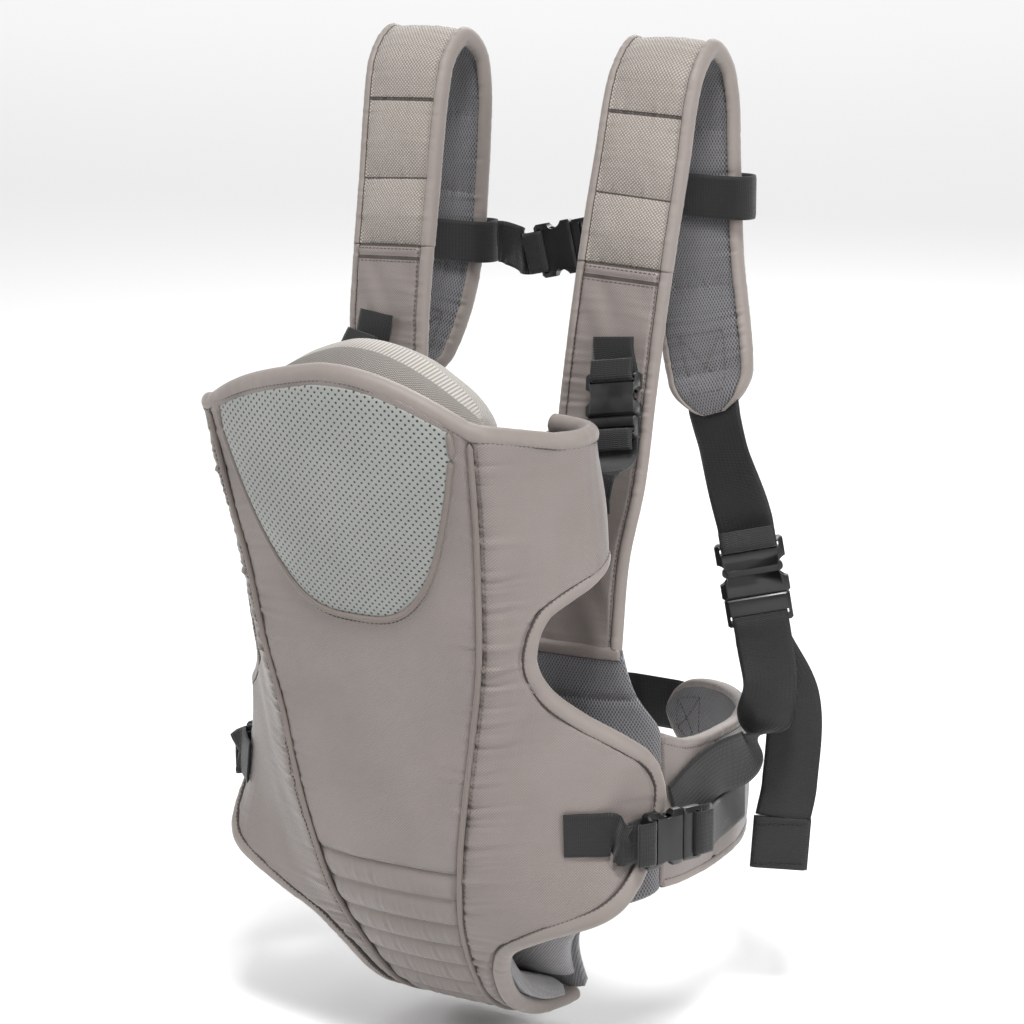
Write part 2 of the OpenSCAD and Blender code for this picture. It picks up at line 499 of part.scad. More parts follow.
// The lower webbing leaves the ladder bar and turns along the waist wing
module rear_lower(side) {
  f = rear_at(side);
  h = wing_thick / 2 + wt;
  function by_ring(q, z, e) = scaled([ring(side * q)[0], ring(side * q)[1], z]) + ring_out(side * q) * e;
  pts = concat(male_loop(f, wide_webbing, -1), [scaled([side * 164, 36, -464]), scaled([side * 163, 24, -492]),
    by_ring(236, -508, h + 14), by_ring(204, -511, h + 5), by_ring(180, -519, h + 1), by_ring(158, -529, h + 1.4)]);
  webbing(pts, [for (i = [0:len(pts) - 1]) i < 8 ? across_of(f) * side : i == 8 ? turned(side, [0.6, 0.7, 0.4])
    : i == 9 ? turned(side, [0.3, 0.4, 0.85]) : [0, 0, 1]], wide_webbing, 60);
}
// The spare end of the same webbing hangs behind it, with its end folded into a thick hem
module rear_tail(side) {
  f = rear_at(side);
  l = male_len(wide_webbing);
  e = bh + 0.4 + wt;
  w = turned(side, [0.86, 0.5, 0]);
  pts = [spot(f, [l + 10.4, 0, -e + 1]), spot(f, [l + 18, 0, -e - 3]), scaled([side * 172, 56, -478]),
    scaled([side * 172, 54, -540]), scaled([side * 169, 50, -566])];
  webbing(pts, [for (i = [0:len(pts) - 1]) i < 2 ? across_of(f) * side : w], wide_webbing, 16);
  hem = scaled([side * 169, 50, -566]);
  color(black)
    tube([for (z = [0, -2, -36, -38]) let (t = (z == 0 || z == -38) ? 1.6 : 2.6, h = wide_webbing / 2 + 1)
      [for (c = strip) hem + [side * -0.07 * -z, 0, z] + w * c[0] * h + turned(side, [0.5, -0.86, 0]) * c[1] * t]]);
}

// ---- chest strap: a keeper round each strap, webbing between them and its own buckle ----
function strap_mid(side, z) = let (t = strap_st(side), x = at([[-205, 632], [-162, 590], [-122, 550], [-82, 510]], z)) at(t, x);
keeper_gap = 2.4;
module keeper(side) {
  z = side > 0 ? -114 : -160;
  c = strap_mid(side, z);
  b = ht + keeper_gap;
  color(black)
    translate([c[0], c[1] - 1.1, c[2] - narrow_webbing / 2])
      linear_extrude(height = narrow_webbing)
        difference() {
          hull() for (i = [-1, 1]) translate([i * hs, 0]) circle(r = b + webbing_thick, $fn = 32);
          hull() for (i = [-1, 1]) translate([i * hs, 0]) circle(r = b, $fn = 32);
        }
}
function keeper_edge(side) =
  let (z = side > 0 ? -114 : -160, c = strap_mid(side, z), r = hs + ht + keeper_gap + webbing_thick + gap)
  [c[0] - side * r, c[1], c[2]];
module chest_webbing_left() {
  f = chest_at;
  l = fem_loop(f, narrow_webbing);
  e = keeper_edge(-1) + [wt, 0, 0];
  pts = concat([e, e + [5, 0, 0], e + [13, 3, -3]], l);
  webbing(pts, [for (i = [0:len(pts) - 1]) i < 3 ? [0, 0, 1] : across_of(f)], narrow_webbing, 40);
}
module chest_webbing_right() {
  f = chest_at;
  l = male_loop(f, narrow_webbing);
  e = keeper_edge(1) - [wt, 0, 0];
  pts = concat(l, [e + [-16, 4, -7], e + [-5, 0, 0], e]);
  n = len(pts);
  webbing(pts, [for (i = [0:n - 1]) i < n - 3 ? across_of(f) : [0, 0, 1]], narrow_webbing, 40);
}

front_centre_panel();
rib_band();
front_wing(-1);  // front_wing_left
front_wing(1);  // front_wing_right
head_pad();
top_binding();
for (side = [-1, 1]) side_binding(side);
for (side = [-1, 1]) seam_piping(side);
pouch_lining();
headrest_cushion();
wearer_panel_upper();
wearer_panel_mesh();
crotch_pad_front();
crotch_pad_back();
strap_pad(-1);  // strap_pad_left
strap_pad(1);  // strap_pad_right
strap_lower(-1);  // strap_lower_left
strap_lower(1);  // strap_lower_right
waist_wing(-1);  // waist_wing_left
waist_wing(1);  // waist_wing_right
waist_belt_webbing();
keeper(-1);  // keeper_left
keeper(1);  // keeper_right
chest_webbing_left();
chest_webbing_right();
place(chest_at) female(narrow_webbing);  // chest_buckle_female
place(chest_at) male(narrow_webbing);  // chest_buckle_male
place(chest_at) latch(narrow_webbing);  // chest_buckle_latch
shoulder_tab(-1);  // shoulder_tab_left
shoulder_tab(1);  // shoulder_tab_right
pouch_tab(-1);  // pouch_tab_left
pouch_tab(1);  // pouch_tab_right
place(shoulder_at(-1)) female(narrow_webbing);  // shoulder_buckle_female_left
place(shoulder_at(-1)) male(narrow_webbing);  // shoulder_buckle_male_left
place(shoulder_at(-1)) latch(narrow_webbing);  // shoulder_buckle_latch_left
place(shoulder_at(1)) female(narrow_webbing);  // shoulder_buckle_female_right
place(shoulder_at(1)) male(narrow_webbing);  // shoulder_buckle_male_right
place(shoulder_at(1)) latch(narrow_webbing);  // shoulder_buckle_latch_right
waist_tab(-1);  // waist_tab_left
waist_tab(1);  // waist_tab_right
waist_webbing(-1);  // waist_webbing_left
waist_webbing(1);  // waist_webbing_right
place(waist_at(-1)) female(narrow_webbing);  // waist_buckle_female_left
place(waist_at(-1)) male(narrow_webbing);  // waist_buckle_male_left
place(waist_at(-1)) latch(narrow_webbing);  // waist_buckle_latch_left
place(waist_at(1)) female(narrow_webbing);  // waist_buckle_female_right
place(waist_at(1)) male(narrow_webbing);  // waist_buckle_male_right
place(waist_at(1)) latch(narrow_webbing);  // waist_buckle_latch_right
rear_webbing(-1);  // rear_webbing_left
rear_webbing(1);  // rear_webbing_right
rear_lower(-1);  // rear_lower_left
rear_lower(1);  // rear_lower_right
rear_tail(-1);  // rear_tail_left
rear_tail(1);  // rear_tail_right
place(rear_at(-1)) female(wide_webbing);  // rear_buckle_female_left
place(rear_at(-1)) male(wide_webbing);  // rear_buckle_male_left
place(rear_at(-1)) latch(wide_webbing);  // rear_buckle_latch_left
place(rear_at(1)) female(wide_webbing);  // rear_buckle_female_right
place(rear_at(1)) male(wide_webbing);  // rear_buckle_male_right
place(rear_at(1)) latch(wide_webbing);  // rear_buckle_latch_right
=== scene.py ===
"""Looks for the soft baby carrier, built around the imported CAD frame. Shapes are in millimetres."""

import math

import bpy
import numpy as np
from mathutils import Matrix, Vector


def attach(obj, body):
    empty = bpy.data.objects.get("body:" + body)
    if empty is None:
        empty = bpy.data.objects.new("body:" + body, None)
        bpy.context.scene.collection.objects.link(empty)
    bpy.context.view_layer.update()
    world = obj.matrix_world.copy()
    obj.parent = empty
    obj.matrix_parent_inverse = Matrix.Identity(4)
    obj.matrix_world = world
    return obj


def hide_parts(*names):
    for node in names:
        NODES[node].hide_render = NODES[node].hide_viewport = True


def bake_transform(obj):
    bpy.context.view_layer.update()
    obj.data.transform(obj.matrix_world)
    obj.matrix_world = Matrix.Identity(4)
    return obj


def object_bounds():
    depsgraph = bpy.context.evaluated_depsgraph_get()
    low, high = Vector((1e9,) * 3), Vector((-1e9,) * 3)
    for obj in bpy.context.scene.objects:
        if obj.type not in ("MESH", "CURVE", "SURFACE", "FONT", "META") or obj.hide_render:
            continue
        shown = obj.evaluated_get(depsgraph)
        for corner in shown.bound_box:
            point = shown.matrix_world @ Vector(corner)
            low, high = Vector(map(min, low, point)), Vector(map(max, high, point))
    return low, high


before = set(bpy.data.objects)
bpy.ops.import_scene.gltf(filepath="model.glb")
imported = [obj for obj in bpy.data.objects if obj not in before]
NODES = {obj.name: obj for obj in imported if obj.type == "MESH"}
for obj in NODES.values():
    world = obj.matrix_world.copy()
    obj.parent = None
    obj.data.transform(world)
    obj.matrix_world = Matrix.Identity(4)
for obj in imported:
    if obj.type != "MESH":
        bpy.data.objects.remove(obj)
cad_low, cad_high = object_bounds()
scene = bpy.context.scene
SIDES = {-1: "left", 1: "right"}

# The frame's nominal box in millimetres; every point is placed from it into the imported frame's box
NOMINAL = np.array([[-191.456, -289.175, -701.009], [197.748, 163.151, -4.085]])


# ---------------------------------------------------------------- curves and surfaces
def lut(table, x, c=1):
    """Smooth curve through the table's rows: column 0 is the distance along, column c the value."""
    t = np.array(table, float)
    xs, y = t[:, 0], t[:, c]
    x = np.asarray(x, float)
    n = len(xs)
    i = np.clip(np.searchsorted(xs, x, side="right") - 1, 0, n - 2)
    h = xs[i + 1] - xs[i]
    u = np.clip((x - xs[i]) / h, 0, 1)
    lo, hi = np.maximum(np.arange(n) - 1, 0), np.minimum(np.arange(n) + 1, n - 1)
    d = (y[hi] - y[lo]) / (xs[hi] - xs[lo])
    v, w = u * u, u**3
    ends = y[i] * (2 * w - 3 * v + 1) + y[i + 1] * (3 * v - 2 * w)
    return ends + h * d[i] * (w - 2 * v + u) + h * d[i + 1] * (w - v)


def unit(v):
    return v / np.maximum(np.linalg.norm(v, axis=-1, keepdims=True), 1e-9)


def ramp(x):
    return np.clip(x, 0, 1)


def steps(*stretches):
    """Even steps through stretches of (from, to, count) that share their ends."""
    return np.concatenate([*(np.linspace(*r)[:-1] for r in stretches[:-1]), np.linspace(*stretches[-1])])


def bump(x, width):
    """One at x = 0, fading to nothing over the width."""
    return np.exp(-((x / width) ** 2))


WAVES = [(1.0, 0.0), (0.61, 1.9), (1.43, 4.1), (2.17, 0.7)]


def wobble(x, y=0.0, seed=0.0):
    """An uneven, smooth wave of about one radian's pitch, from -1 to 1."""
    total = 0.0
    for k, p in WAVES:
        bend = 0.9 * np.sin(0.53 * k * y + 0.31 * x + seed)
        total = total + np.sin(k * x + 0.37 * k * y + p + 1.7 * seed + bend)
    return total / len(WAVES)


FRONT = [
    [190, -190, -268, 103, 64, 16], [238, -238, -259, 101, 62, 15], [300, -300, -244, 96.6, 60, 12],
    [350, -350, -232, 91, 56, 9], [400, -400, -224, 86, 50, 7], [450, -450, -217, 76.5, 44, 6],
    [500, -500, -213, 67.6, 37, 5], [535, -535, -208, 61, 30, 5], [575, -574, -198, 54, 14, 5],
    [600, -598, -187, 49, 6, 5], [640, -632, -165, 43, 0, 4], [680, -663, -138, 39, 0, 3],
    [720, -682, -103, 37, 0, 2], [760, -690, -64, 36, 0, 2], [790, -691, -34, 36, 0, 2]]
REACH = [
    [190, 132], [238, 138], [300, 136], [318, 120], [337, 80], [350, 58], [362, 41], [382, 31], [403, 31],
    [425, 45], [445, 71], [461, 98], [475, 118], [490, 128], [505, 130], [535, 121], [555, 113], [572, 98],
    [590, 60], [609, 32], [630, 22], [651, 18], [690, 15], [790, 14]]
# The panels' top edge, where the armholes begin and end, and their lower end, all down the surface
PANEL_TOP, ARMHOLE, LEG_END, PANEL_END = 236, 310, 640, 776
PANEL, LINING = 5.0, 4.0
MID = (PANEL - LINING - 0.3) / 2


def seam_x(w):
    return lut(FRONT, w, 3)


def reach(w):
    return lut(REACH, w)


def turn(d, w):
    return (lut(FRONT, w, 4) * np.minimum(1, 0.25 + d / 14) + 105 * ramp((420 - w) / 60) * ramp((d - 70) / 48)
            + 30 * ramp((w - 430) / 40) * ramp((600 - w) / 40) * ramp((d - 84) / 40))


def front(s, w):
    """The pouch's surface, s across from the middle and w down it."""
    s, w = np.broadcast_arrays(np.asarray(s, float), np.asarray(w, float))
    q, y, z, b = seam_x(w), lut(FRONT, w, 2), lut(FRONT, w, 1), lut(FRONT, w, 5)
    d = np.maximum(np.abs(s) - q, 0)
    x1, y1 = np.zeros_like(d), np.zeros_like(d)
    for i in range(12):
        a = np.radians(turn((i + 0.5) * d / 12, w))
        x1, y1 = x1 + np.cos(a) * d / 12, y1 + np.sin(a) * d / 12
    inside = np.abs(s) <= q
    x = np.where(inside, s, np.sign(s) * (q + x1))
    return np.stack([x, np.where(inside, y - b * (1 - (s / q) ** 2), y + y1), z], -1)


def front_out(s, w):
    return unit(np.cross(front(s, w + 0.5) - front(s, w - 0.5), front(s + 0.5, w) - front(s - 0.5, w)))


def off(s, w, h):
    s, w, h = np.broadcast_arrays(*(np.asarray(v, float) for v in (s, w, h)))
    return front(s, w) + front_out(s, w) * h[..., None]


def top_w(s):
    sag = 7 * bump(s + 22, 52)
    return 198 + sag + 38 * ramp(np.abs(s) / 101) ** 1.7 + 12 * ramp((np.abs(s) - 101) / 60)


def drop(s, w):
    return w + (top_w(s) - PANEL_TOP) * ramp((400 - w) / 164) ** 1.5


RING = [
    [0, 0, -120], [60, 60, -117], [112, 110, -103], [150, 136, -76], [191, 142, -36], [227, 141, 0],
    [270, 135, 42], [317, 116, 84], [370, 80, 124], [418, 38, 149], [440, 18, 155]]


def ring(q):
    a = np.abs(q)
    return np.stack([np.sign(q) * lut(RING, a, 1), lut(RING, a, 2), 0 * a], -1)


def ring_out(q):
    a = np.abs(q)
    d = np.stack([lut(RING, a + 0.5, c) - lut(RING, a - 0.5, c) for c in (1, 2)], -1)
    n = unit(np.stack([d[..., 1], -d[..., 0], 0 * a], -1))
    return n * np.stack([np.where(np.asarray(q) < 0, -1.0, 1.0), 1 + 0 * a, 1 + 0 * a], -1)


WEARER = [
    [-690, 60, 80, 0.3], [-670, 65, 62, 0.4], [-640, 74, 38, 0.6], [-620, 86, 22, 0.8], [-600, 110, 8, 1],
    [-585, 150, 0, 1], [-475, 150, 0, 1], [-440, 134, 3, 0.7], [-412, 128, 5, 0.4]]
RING_SEAM = 150


def wearer(q, z):
    q, z = np.broadcast_arrays(np.asarray(q, float), np.asarray(z, float))
    p, k = ring(q), lut(WEARER, z, 3)
    return np.stack([p[..., 0], -120 + (p[..., 1] + 120) * k + lut(WEARER, z, 2), z], -1)


def wearer_half(z):
    return np.minimum(RING_SEAM - 0.15, lut(WEARER, z, 1))


def wearer_off(q, z, h):
    q, z, h = np.broadcast_arrays(*(np.asarray(v, float) for v in (q, z, h)))
    n = unit(np.cross(wearer(q + 1, z) - wearer(q - 1, z), wearer(q, z + 1) - wearer(q, z - 1)))
    return wearer(q, z) + n * h[..., None]


# ---------------------------------------------------------------- meshes
def signed_volume(co, quads):
    a, b, c, d = (co[quads[:, k]] for k in range(4))
    return float((np.einsum("ij,ij->i", a, np.cross(b, c)) + np.einsum("ij,ij->i", a, np.cross(c, d))).sum())


def into_frame(points):
    """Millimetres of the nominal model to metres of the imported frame."""
    low, high = np.array(cad_low), np.array(cad_high)
    return low + (points - NOMINAL[0]) / (NOMINAL[1] - NOMINAL[0]) * (high - low)


def new_mesh(name, co, quads, uv=None, slots=None, mats=()):
    co = into_frame(np.asarray(co, float))
    if signed_volume(co - co.mean(0), quads) < 0:
        quads = quads[:, ::-1]
        uv = None if uv is None else uv.reshape(-1, 4, 2)[:, ::-1].reshape(-1, 2)
    me = bpy.data.meshes.new(name)
    n = len(quads)
    me.vertices.add(len(co))
    me.vertices.foreach_set("co", co.astype(np.float32).ravel())
    me.loops.add(4 * n)
    me.loops.foreach_set("vertex_index", quads.astype(np.int32).ravel())
    me.polygons.add(n)
    me.polygons.foreach_set("loop_start", np.arange(0, 4 * n, 4, dtype=np.int32))
    me.update(calc_edges=True)
    me.validate()
    me.polygons.foreach_set("use_smooth", np.ones(len(me.polygons), bool))
    for m in mats:
        me.materials.append(m)
    if slots is not None:
        me.polygons.foreach_set("material_index", slots.astype(np.int32))
    if uv is not None:
        layer = me.uv_layers.new(name="Weave")
        layer.data.foreach_set("uv", uv.astype(np.float32).ravel())
    ob = bpy.data.objects.new(name, me)
    scene.collection.objects.link(ob)
    return ob


def loft(name, rings, mats, columns=None, uv=None, rows=None):
    """A closed solid from a stack of closed rings.

    Point j of a ring faces point n-1-j, so the ends close in quads.
    """
    nr, nl = rings.shape[:2]
    i, j = np.meshgrid(np.arange(nr - 1), np.arange(nl), indexing="ij")
    k = (j + 1) % nl
    sides = np.stack([i * nl + j, i * nl + k, (i + 1) * nl + k, (i + 1) * nl + j], -1).reshape(-1, 4)
    e = np.arange(nl // 2 - 1)
    start = np.stack([e, nl - 1 - e, nl - 2 - e, e + 1], -1)
    end = np.stack([e, e + 1, nl - 2 - e, nl - 1 - e], -1) + (nr - 1) * nl
    quads = np.concatenate([sides, start, end])
    if uv is None:
        step = np.linalg.norm(np.diff(np.concatenate([rings, rings[:, :1]], 1), axis=1), axis=2).mean(0)
        u = np.concatenate([[0], np.cumsum(step)])
        v = np.concatenate([[0], np.cumsum(np.linalg.norm(np.diff(rings.mean(1), axis=0), axis=1))])
        uv = np.stack(np.broadcast_arrays(u[None, :], v[:, None]), -1)
    side_uv = np.stack([uv[i, j], uv[i, j + 1], uv[i + 1, j + 1], uv[i + 1, j]], 2).reshape(-1, 2)
    cap = [uv[r][idx].reshape(-1, 2) for r, idx in ((0, start), (nr - 1, end - (nr - 1) * nl))]
    columns = np.zeros(nl, int) if columns is None else np.asarray(columns)
    slots = np.broadcast_to(columns, (nr - 1, nl)).copy()
    if rows is not None:
        slots = rows(slots)
    first, last = slots[0][e], slots[-1][e]
    return new_mesh(name, rings.reshape(-1, 3), quads, np.concatenate([side_uv, *cap]),
                    np.concatenate([slots.ravel(), first, last]), mats)


def sandwich(name, outer, inner, mats, uv):
    """A closed layer: outer and inner are grids of points, uv the grid's own coordinates in millimetres."""
    n = outer.shape[1]
    rings = np.concatenate([outer, inner[:, ::-1]], 1)
    columns = np.array([0] * n + [len(mats) - 1] * n)
    return loft(name, rings, mats, columns, there_and_back(uv))


def grid_uv(a, b):
    return np.stack(np.broadcast_arrays(np.asarray(a, float), np.asarray(b, float)), -1)


def sweep(name, path, side, up, section, mats, columns=None, swell=None):
    """Carries a closed section, points (a along side, b along up), down a path."""
    section = np.asarray(section, float)
    scale = np.ones(len(path)) if swell is None else swell
    rings = (path[:, None] + side[:, None] * (section[None, :, 0, None] * scale[:, None, None])
             + up[:, None] * (section[None, :, 1, None] * scale[:, None, None]))
    return loft(name, rings, mats, columns)


def along_of(p):
    d = np.empty_like(p)
    d[1:-1] = p[2:] - p[:-2]
    d[0], d[-1] = p[1] - p[0], p[-1] - p[-2]
    return unit(d)


def cord_piece(name, path, r, mat, up, taper):
    """A thin round cord: its ends narrow over the taper's length."""
    d = along_of(path)
    up = unit(up - d * (up * d).sum(-1, keepdims=True))
    side = np.cross(d, up)
    length = np.concatenate([[0], np.cumsum(np.linalg.norm(np.diff(path, axis=0), axis=1))])
    near = np.minimum(length, length[-1] - length)
    swell = np.sqrt(np.clip(near / taper + 0.05, 0.05, 1))
    a = (np.arange(12) + 0.5) / 12 * 2 * np.pi
    return sweep(name, path, side, up, np.stack([r * np.cos(a), r * np.sin(a)], -1), [mat], swell=swell)


STITCHES = {}


def stitch(path, out, body="carrier", pitch=3.4, dash=2.5, r=0.36, lift=0.2):
    """Thread dashes along a line on a surface, kept for one mesh for each body."""
    step = np.linalg.norm(np.diff(path, axis=0), axis=1)
    length = np.concatenate([[0], np.cumsum(step)])
    n = max(1, int(length[-1] / pitch))
    start = np.arange(n) * length[-1] / n
    t = start[:, None] + np.array([0, 0.18, 0.5, 0.82, 1]) * dash
    rise = lift + r * np.array([-0.9, 0.2, 0.45, 0.2, -0.9])
    size = r * np.array([0.3, 0.9, 1, 0.9, 0.3])
    c = np.stack([np.interp(t, length, path[:, k]) for k in range(3)], -1)
    o = unit(np.stack([np.interp(t, length, out[:, k]) for k in range(3)], -1))
    d = unit(c[:, -1:] - c[:, :1]) + 0 * c
    v = unit(np.cross(d, o))
    a = (np.arange(6) + 0.5) / 6 * 2 * np.pi
    rings = (c + o * rise[:, None])[:, :, None] + size[None, :, None, None] * (
        v[:, :, None] * np.cos(a)[:, None] + o[:, :, None] * np.sin(a)[:, None])
    STITCHES.setdefault(body, []).append(rings)


def build_stitches(mat):
    for body, parts in STITCHES.items():
        rings = np.concatenate(parts)
        m = len(rings)
        i, j = np.meshgrid(np.arange(4), np.arange(6), indexing="ij")
        k = (j + 1) % 6
        quads = np.stack([i * 6 + j, i * 6 + k, (i + 1) * 6 + k, (i + 1) * 6 + j], -1).reshape(-1, 4)
        e = np.arange(2)
        caps = [np.stack([e, 5 - e, 4 - e, e + 1], -1), np.stack([e, e + 1, 4 - e, 5 - e], -1) + 24]
        quads = np.concatenate([quads, *caps])
        every = (np.arange(m)[:, None, None] * 30 + quads[None]).reshape(-1, 4)
        ob = new_mesh("stitching_" + body, rings.reshape(-1, 3), every,
                      np.tile(np.array([[0, 0], [1, 0], [1, 1], [0, 1]], float), (len(every), 1)), None,
                      [mat if body == "carrier" else BLACK_THREAD])
        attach(ob, body)
        "taupe_cloth" if body == "carrier" else "black_webbing"


# ---------------------------------------------------------------- materials
class Sock:
    """A shader value that can be added, multiplied and so on."""

    def __init__(self, tree, socket):
        self.t, self.s = tree, socket

    def op(self, kind, *others):
        n = self.t.nodes.new("ShaderNodeMath")
        n.operation = kind
        for i, v in enumerate((self, *others)):
            if isinstance(v, Sock):
                self.t.links.new(v.s, n.inputs[i])
            else:
                n.inputs[i].default_value = v
        return Sock(self.t, n.outputs[0])

    def __add__(self, o):
        return self.op("ADD", o)

    def __sub__(self, o):
        return self.op("SUBTRACT", o)

    def __mul__(self, o):
        return self.op("MULTIPLY", o)

    def sin(self):
        return self.op("SINE")

    def abs(self):
        return self.op("ABSOLUTE")

    def pow(self, e):
        return self.op("POWER", e)

    def wave(self, pitch):
        """From 0 in the grooves to 1 on the crests."""
        return (self * (math.pi / pitch)).sin().abs()

    def smooth(self, lo, hi, a=0.0, b=1.0):
        n = self.t.nodes.new("ShaderNodeMapRange")
        n.interpolation_type = "SMOOTHSTEP"
        self.t.links.new(self.s, n.inputs[0])
        for i, v in enumerate((lo, hi, a, b)):
            n.inputs[i + 1].default_value = v
        return Sock(self.t, n.outputs[0])


def linear(rgb):
    return tuple((c / 255 / 12.92 if c <= 10 else ((c / 255 + 0.055) / 1.055) ** 2.4) for c in rgb) + (1.0,)


PATCHES, FIBRES, MOULD_GRAIN = 14.0, 900, 2600  # noise scales


def new_material(name):
    m = bpy.data.materials.new(name)
    m.use_nodes = True
    return m, m.node_tree, m.node_tree.nodes["Principled BSDF"]


def noise(t, place, scale, detail=2):
    n = t.nodes.new("ShaderNodeTexNoise")
    n.inputs["Scale"].default_value = scale
    n.inputs["Detail"].default_value = detail
    t.links.new(place.outputs["Object"], n.inputs["Vector"])
    return Sock(t, n.outputs["Fac"])


def roughen(t, b, height, strength, depth):
    bm = t.nodes.new("ShaderNodeBump")
    bm.inputs["Strength"].default_value = strength
    bm.inputs["Distance"].default_value = depth
    t.links.new(height.s, bm.inputs["Height"])
    t.links.new(bm.outputs["Normal"], b.inputs["Normal"])


def material(name, high, low, pattern, rough=0.6, sheen=0.0, specular=0.4, depth=0.00035, strength=0.6,
             patch=0.08, fine=0.25, sheen_rough=0.4):
    """A cloth: high and low are the colours of its pattern's crests and grooves.

    pattern(u, v) gives a Sock from 0 to 1, with u and v in millimetres.
    """
    m, t, b = new_material(name)
    m.diffuse_color = linear(high)
    uv = t.nodes.new("ShaderNodeUVMap")
    uv.uv_map = "Weave"
    split = t.nodes.new("ShaderNodeSeparateXYZ")
    t.links.new(uv.outputs[0], split.inputs[0])
    place = t.nodes.new("ShaderNodeTexCoord")
    big, small = noise(t, place, PATCHES, 4), noise(t, place, FIBRES)
    height = pattern(Sock(t, split.outputs[0]), Sock(t, split.outputs[1]))
    grain = height + (small - 0.5) * fine
    mix = t.nodes.new("ShaderNodeMix")
    mix.data_type = "RGBA"
    mix.clamp_factor = True
    t.links.new(grain.s, mix.inputs["Factor"])
    mix.inputs["A"].default_value = linear(low)
    mix.inputs["B"].default_value = linear(high)
    shade = t.nodes.new("ShaderNodeMix")
    shade.data_type = "RGBA"
    shade.blend_type = "MULTIPLY"
    tone = big.smooth(0.3, 0.7)
    t.links.new(tone.s, shade.inputs["Factor"])
    t.links.new(mix.outputs["Result"], shade.inputs["A"])
    shade.inputs["B"].default_value = (1 - patch, 1 - patch, 1 - patch * 1.1, 1)
    t.links.new(shade.outputs["Result"], b.inputs["Base Color"])
    worn = big.smooth(0.25, 0.75, rough - 0.05, rough + 0.06)
    t.links.new(worn.s, b.inputs["Roughness"])
    b.inputs["Specular IOR Level"].default_value = specular
    b.inputs["Sheen Weight"].default_value = sheen
    b.inputs["Sheen Roughness"].default_value = sheen_rough
    roughen(t, b, grain, strength, depth)
    return m


def twill(pitch):
    return lambda u, v: (u + v * 1.0).wave(pitch) * 0.65 + (u - v * 1.7).wave(pitch * 0.8) * 0.35


def diamonds(pitch):
    return lambda u, v: ((u + v).wave(pitch) * (u - v).wave(pitch)).pow(0.6)


def net(pitch):
    """Knitted spacer mesh: rounded holes between raised threads, in staggered rows."""
    return lambda u, v: ((u * 0.87 + v * 0.5).wave(pitch) * (u * 0.87 - v * 0.5).wave(pitch) * 0.8
                         + v.wave(pitch) * 0.2).smooth(0.12, 0.62)


def dots(pitch, r):
    def made(u, v):
        def lattice(shift):
            a = ((u + shift) * (1 / pitch)).op("FRACT") - 0.5
            b = ((v + shift) * (1 / pitch)).op("FRACT") - 0.5
            return (a * a + b * b).pow(0.5)

        return lattice(0.0).op("MINIMUM", lattice(pitch / 2)).smooth(r * 0.6 / pitch, r * 1.25 / pitch)

    return made


def ribs(pitch):
    return lambda u, v: (v + u.wave(3.1) * (0.35 * pitch)).wave(pitch) * 0.8 + u.wave(1.9) * 0.2


def plain(u, v):
    return u * 0.0 + 0.6


TAUPE = material("taupe_satin", (133, 124, 120), (106, 98, 95), diamonds(1.9), 0.42, 0.35, 0.5, 0.0003, 0.55,
                 patch=0.1, sheen_rough=0.3)
# The taupe satin again, darkened: painted shade for the wearer's upper panel, which sits in shadow deep
# between the straps
TAUPE_PAINTED_SHADE = material("taupe_satin_painted_shade", (58, 54, 55), (42, 39, 40), diamonds(1.9), 0.4, 0.25, 0.5, 0.0003, 0.5,
                      patch=0.1)
TAPE = material("binding_tape", (136, 127, 122), (112, 104, 100), twill(0.9), 0.5, 0.3, 0.4, 0.00015, 0.4,
                fine=0.15)
PADCLOTH = material("strap_mesh_cloth", (164, 156, 149), (100, 93, 88), diamonds(2.5), 0.6, 0.35, 0.35,
                    0.0005, 0.75)
MESH = material("grey_spacer_mesh", (120, 119, 122), (54, 53, 56), net(1.9), 0.72, 0.3, 0.3, 0.0006, 0.8)
MESH_LIGHT = material("warm_spacer_mesh", (172, 167, 161), (118, 113, 108), diamonds(2.6), 0.66, 0.35, 0.3,
                      0.0005, 0.7)
ROLL_MESH = material("crotch_mesh", (158, 156, 158), (92, 90, 92), diamonds(2.2), 0.7, 0.3, 0.3, 0.0006, 0.8)
PERFORATED = material("perforated_pad", (136, 138, 135), (30, 33, 36), dots(5.2, 0.8), 0.46, 0.15, 0.45,
                      0.0007, 0.8, fine=0.06)
WEBBING = material("ribbed_webbing", (30, 30, 32), (7, 7, 8), ribs(1.25), 0.58, 0.2, 0.35, 0.0004, 0.8)
THREAD = material("sewing_thread", (100, 92, 88), (72, 66, 63), plain, 0.6, 0.2, 0.3, 0.0001, 0.3)
BLACK_THREAD = material("black_thread", (20, 20, 21), (12, 12, 13), plain, 0.6, 0.2, 0.3, 0.0001, 0.3)
# Painted shade: a dark taupe put in the narrow creases beside quilting lines and bound edges, standing in for
# the shadow there
PAINTED_SEAM_SHADE = material("seam_shade", (72, 65, 62), (52, 47, 45), twill(0.9), 0.6, 0.1, 0.3, 0.00015, 0.4)
PIPING = material("piping_cord", (124, 114, 109), (92, 84, 80), twill(0.9), 0.5, 0.25, 0.35, 0.00015, 0.4)


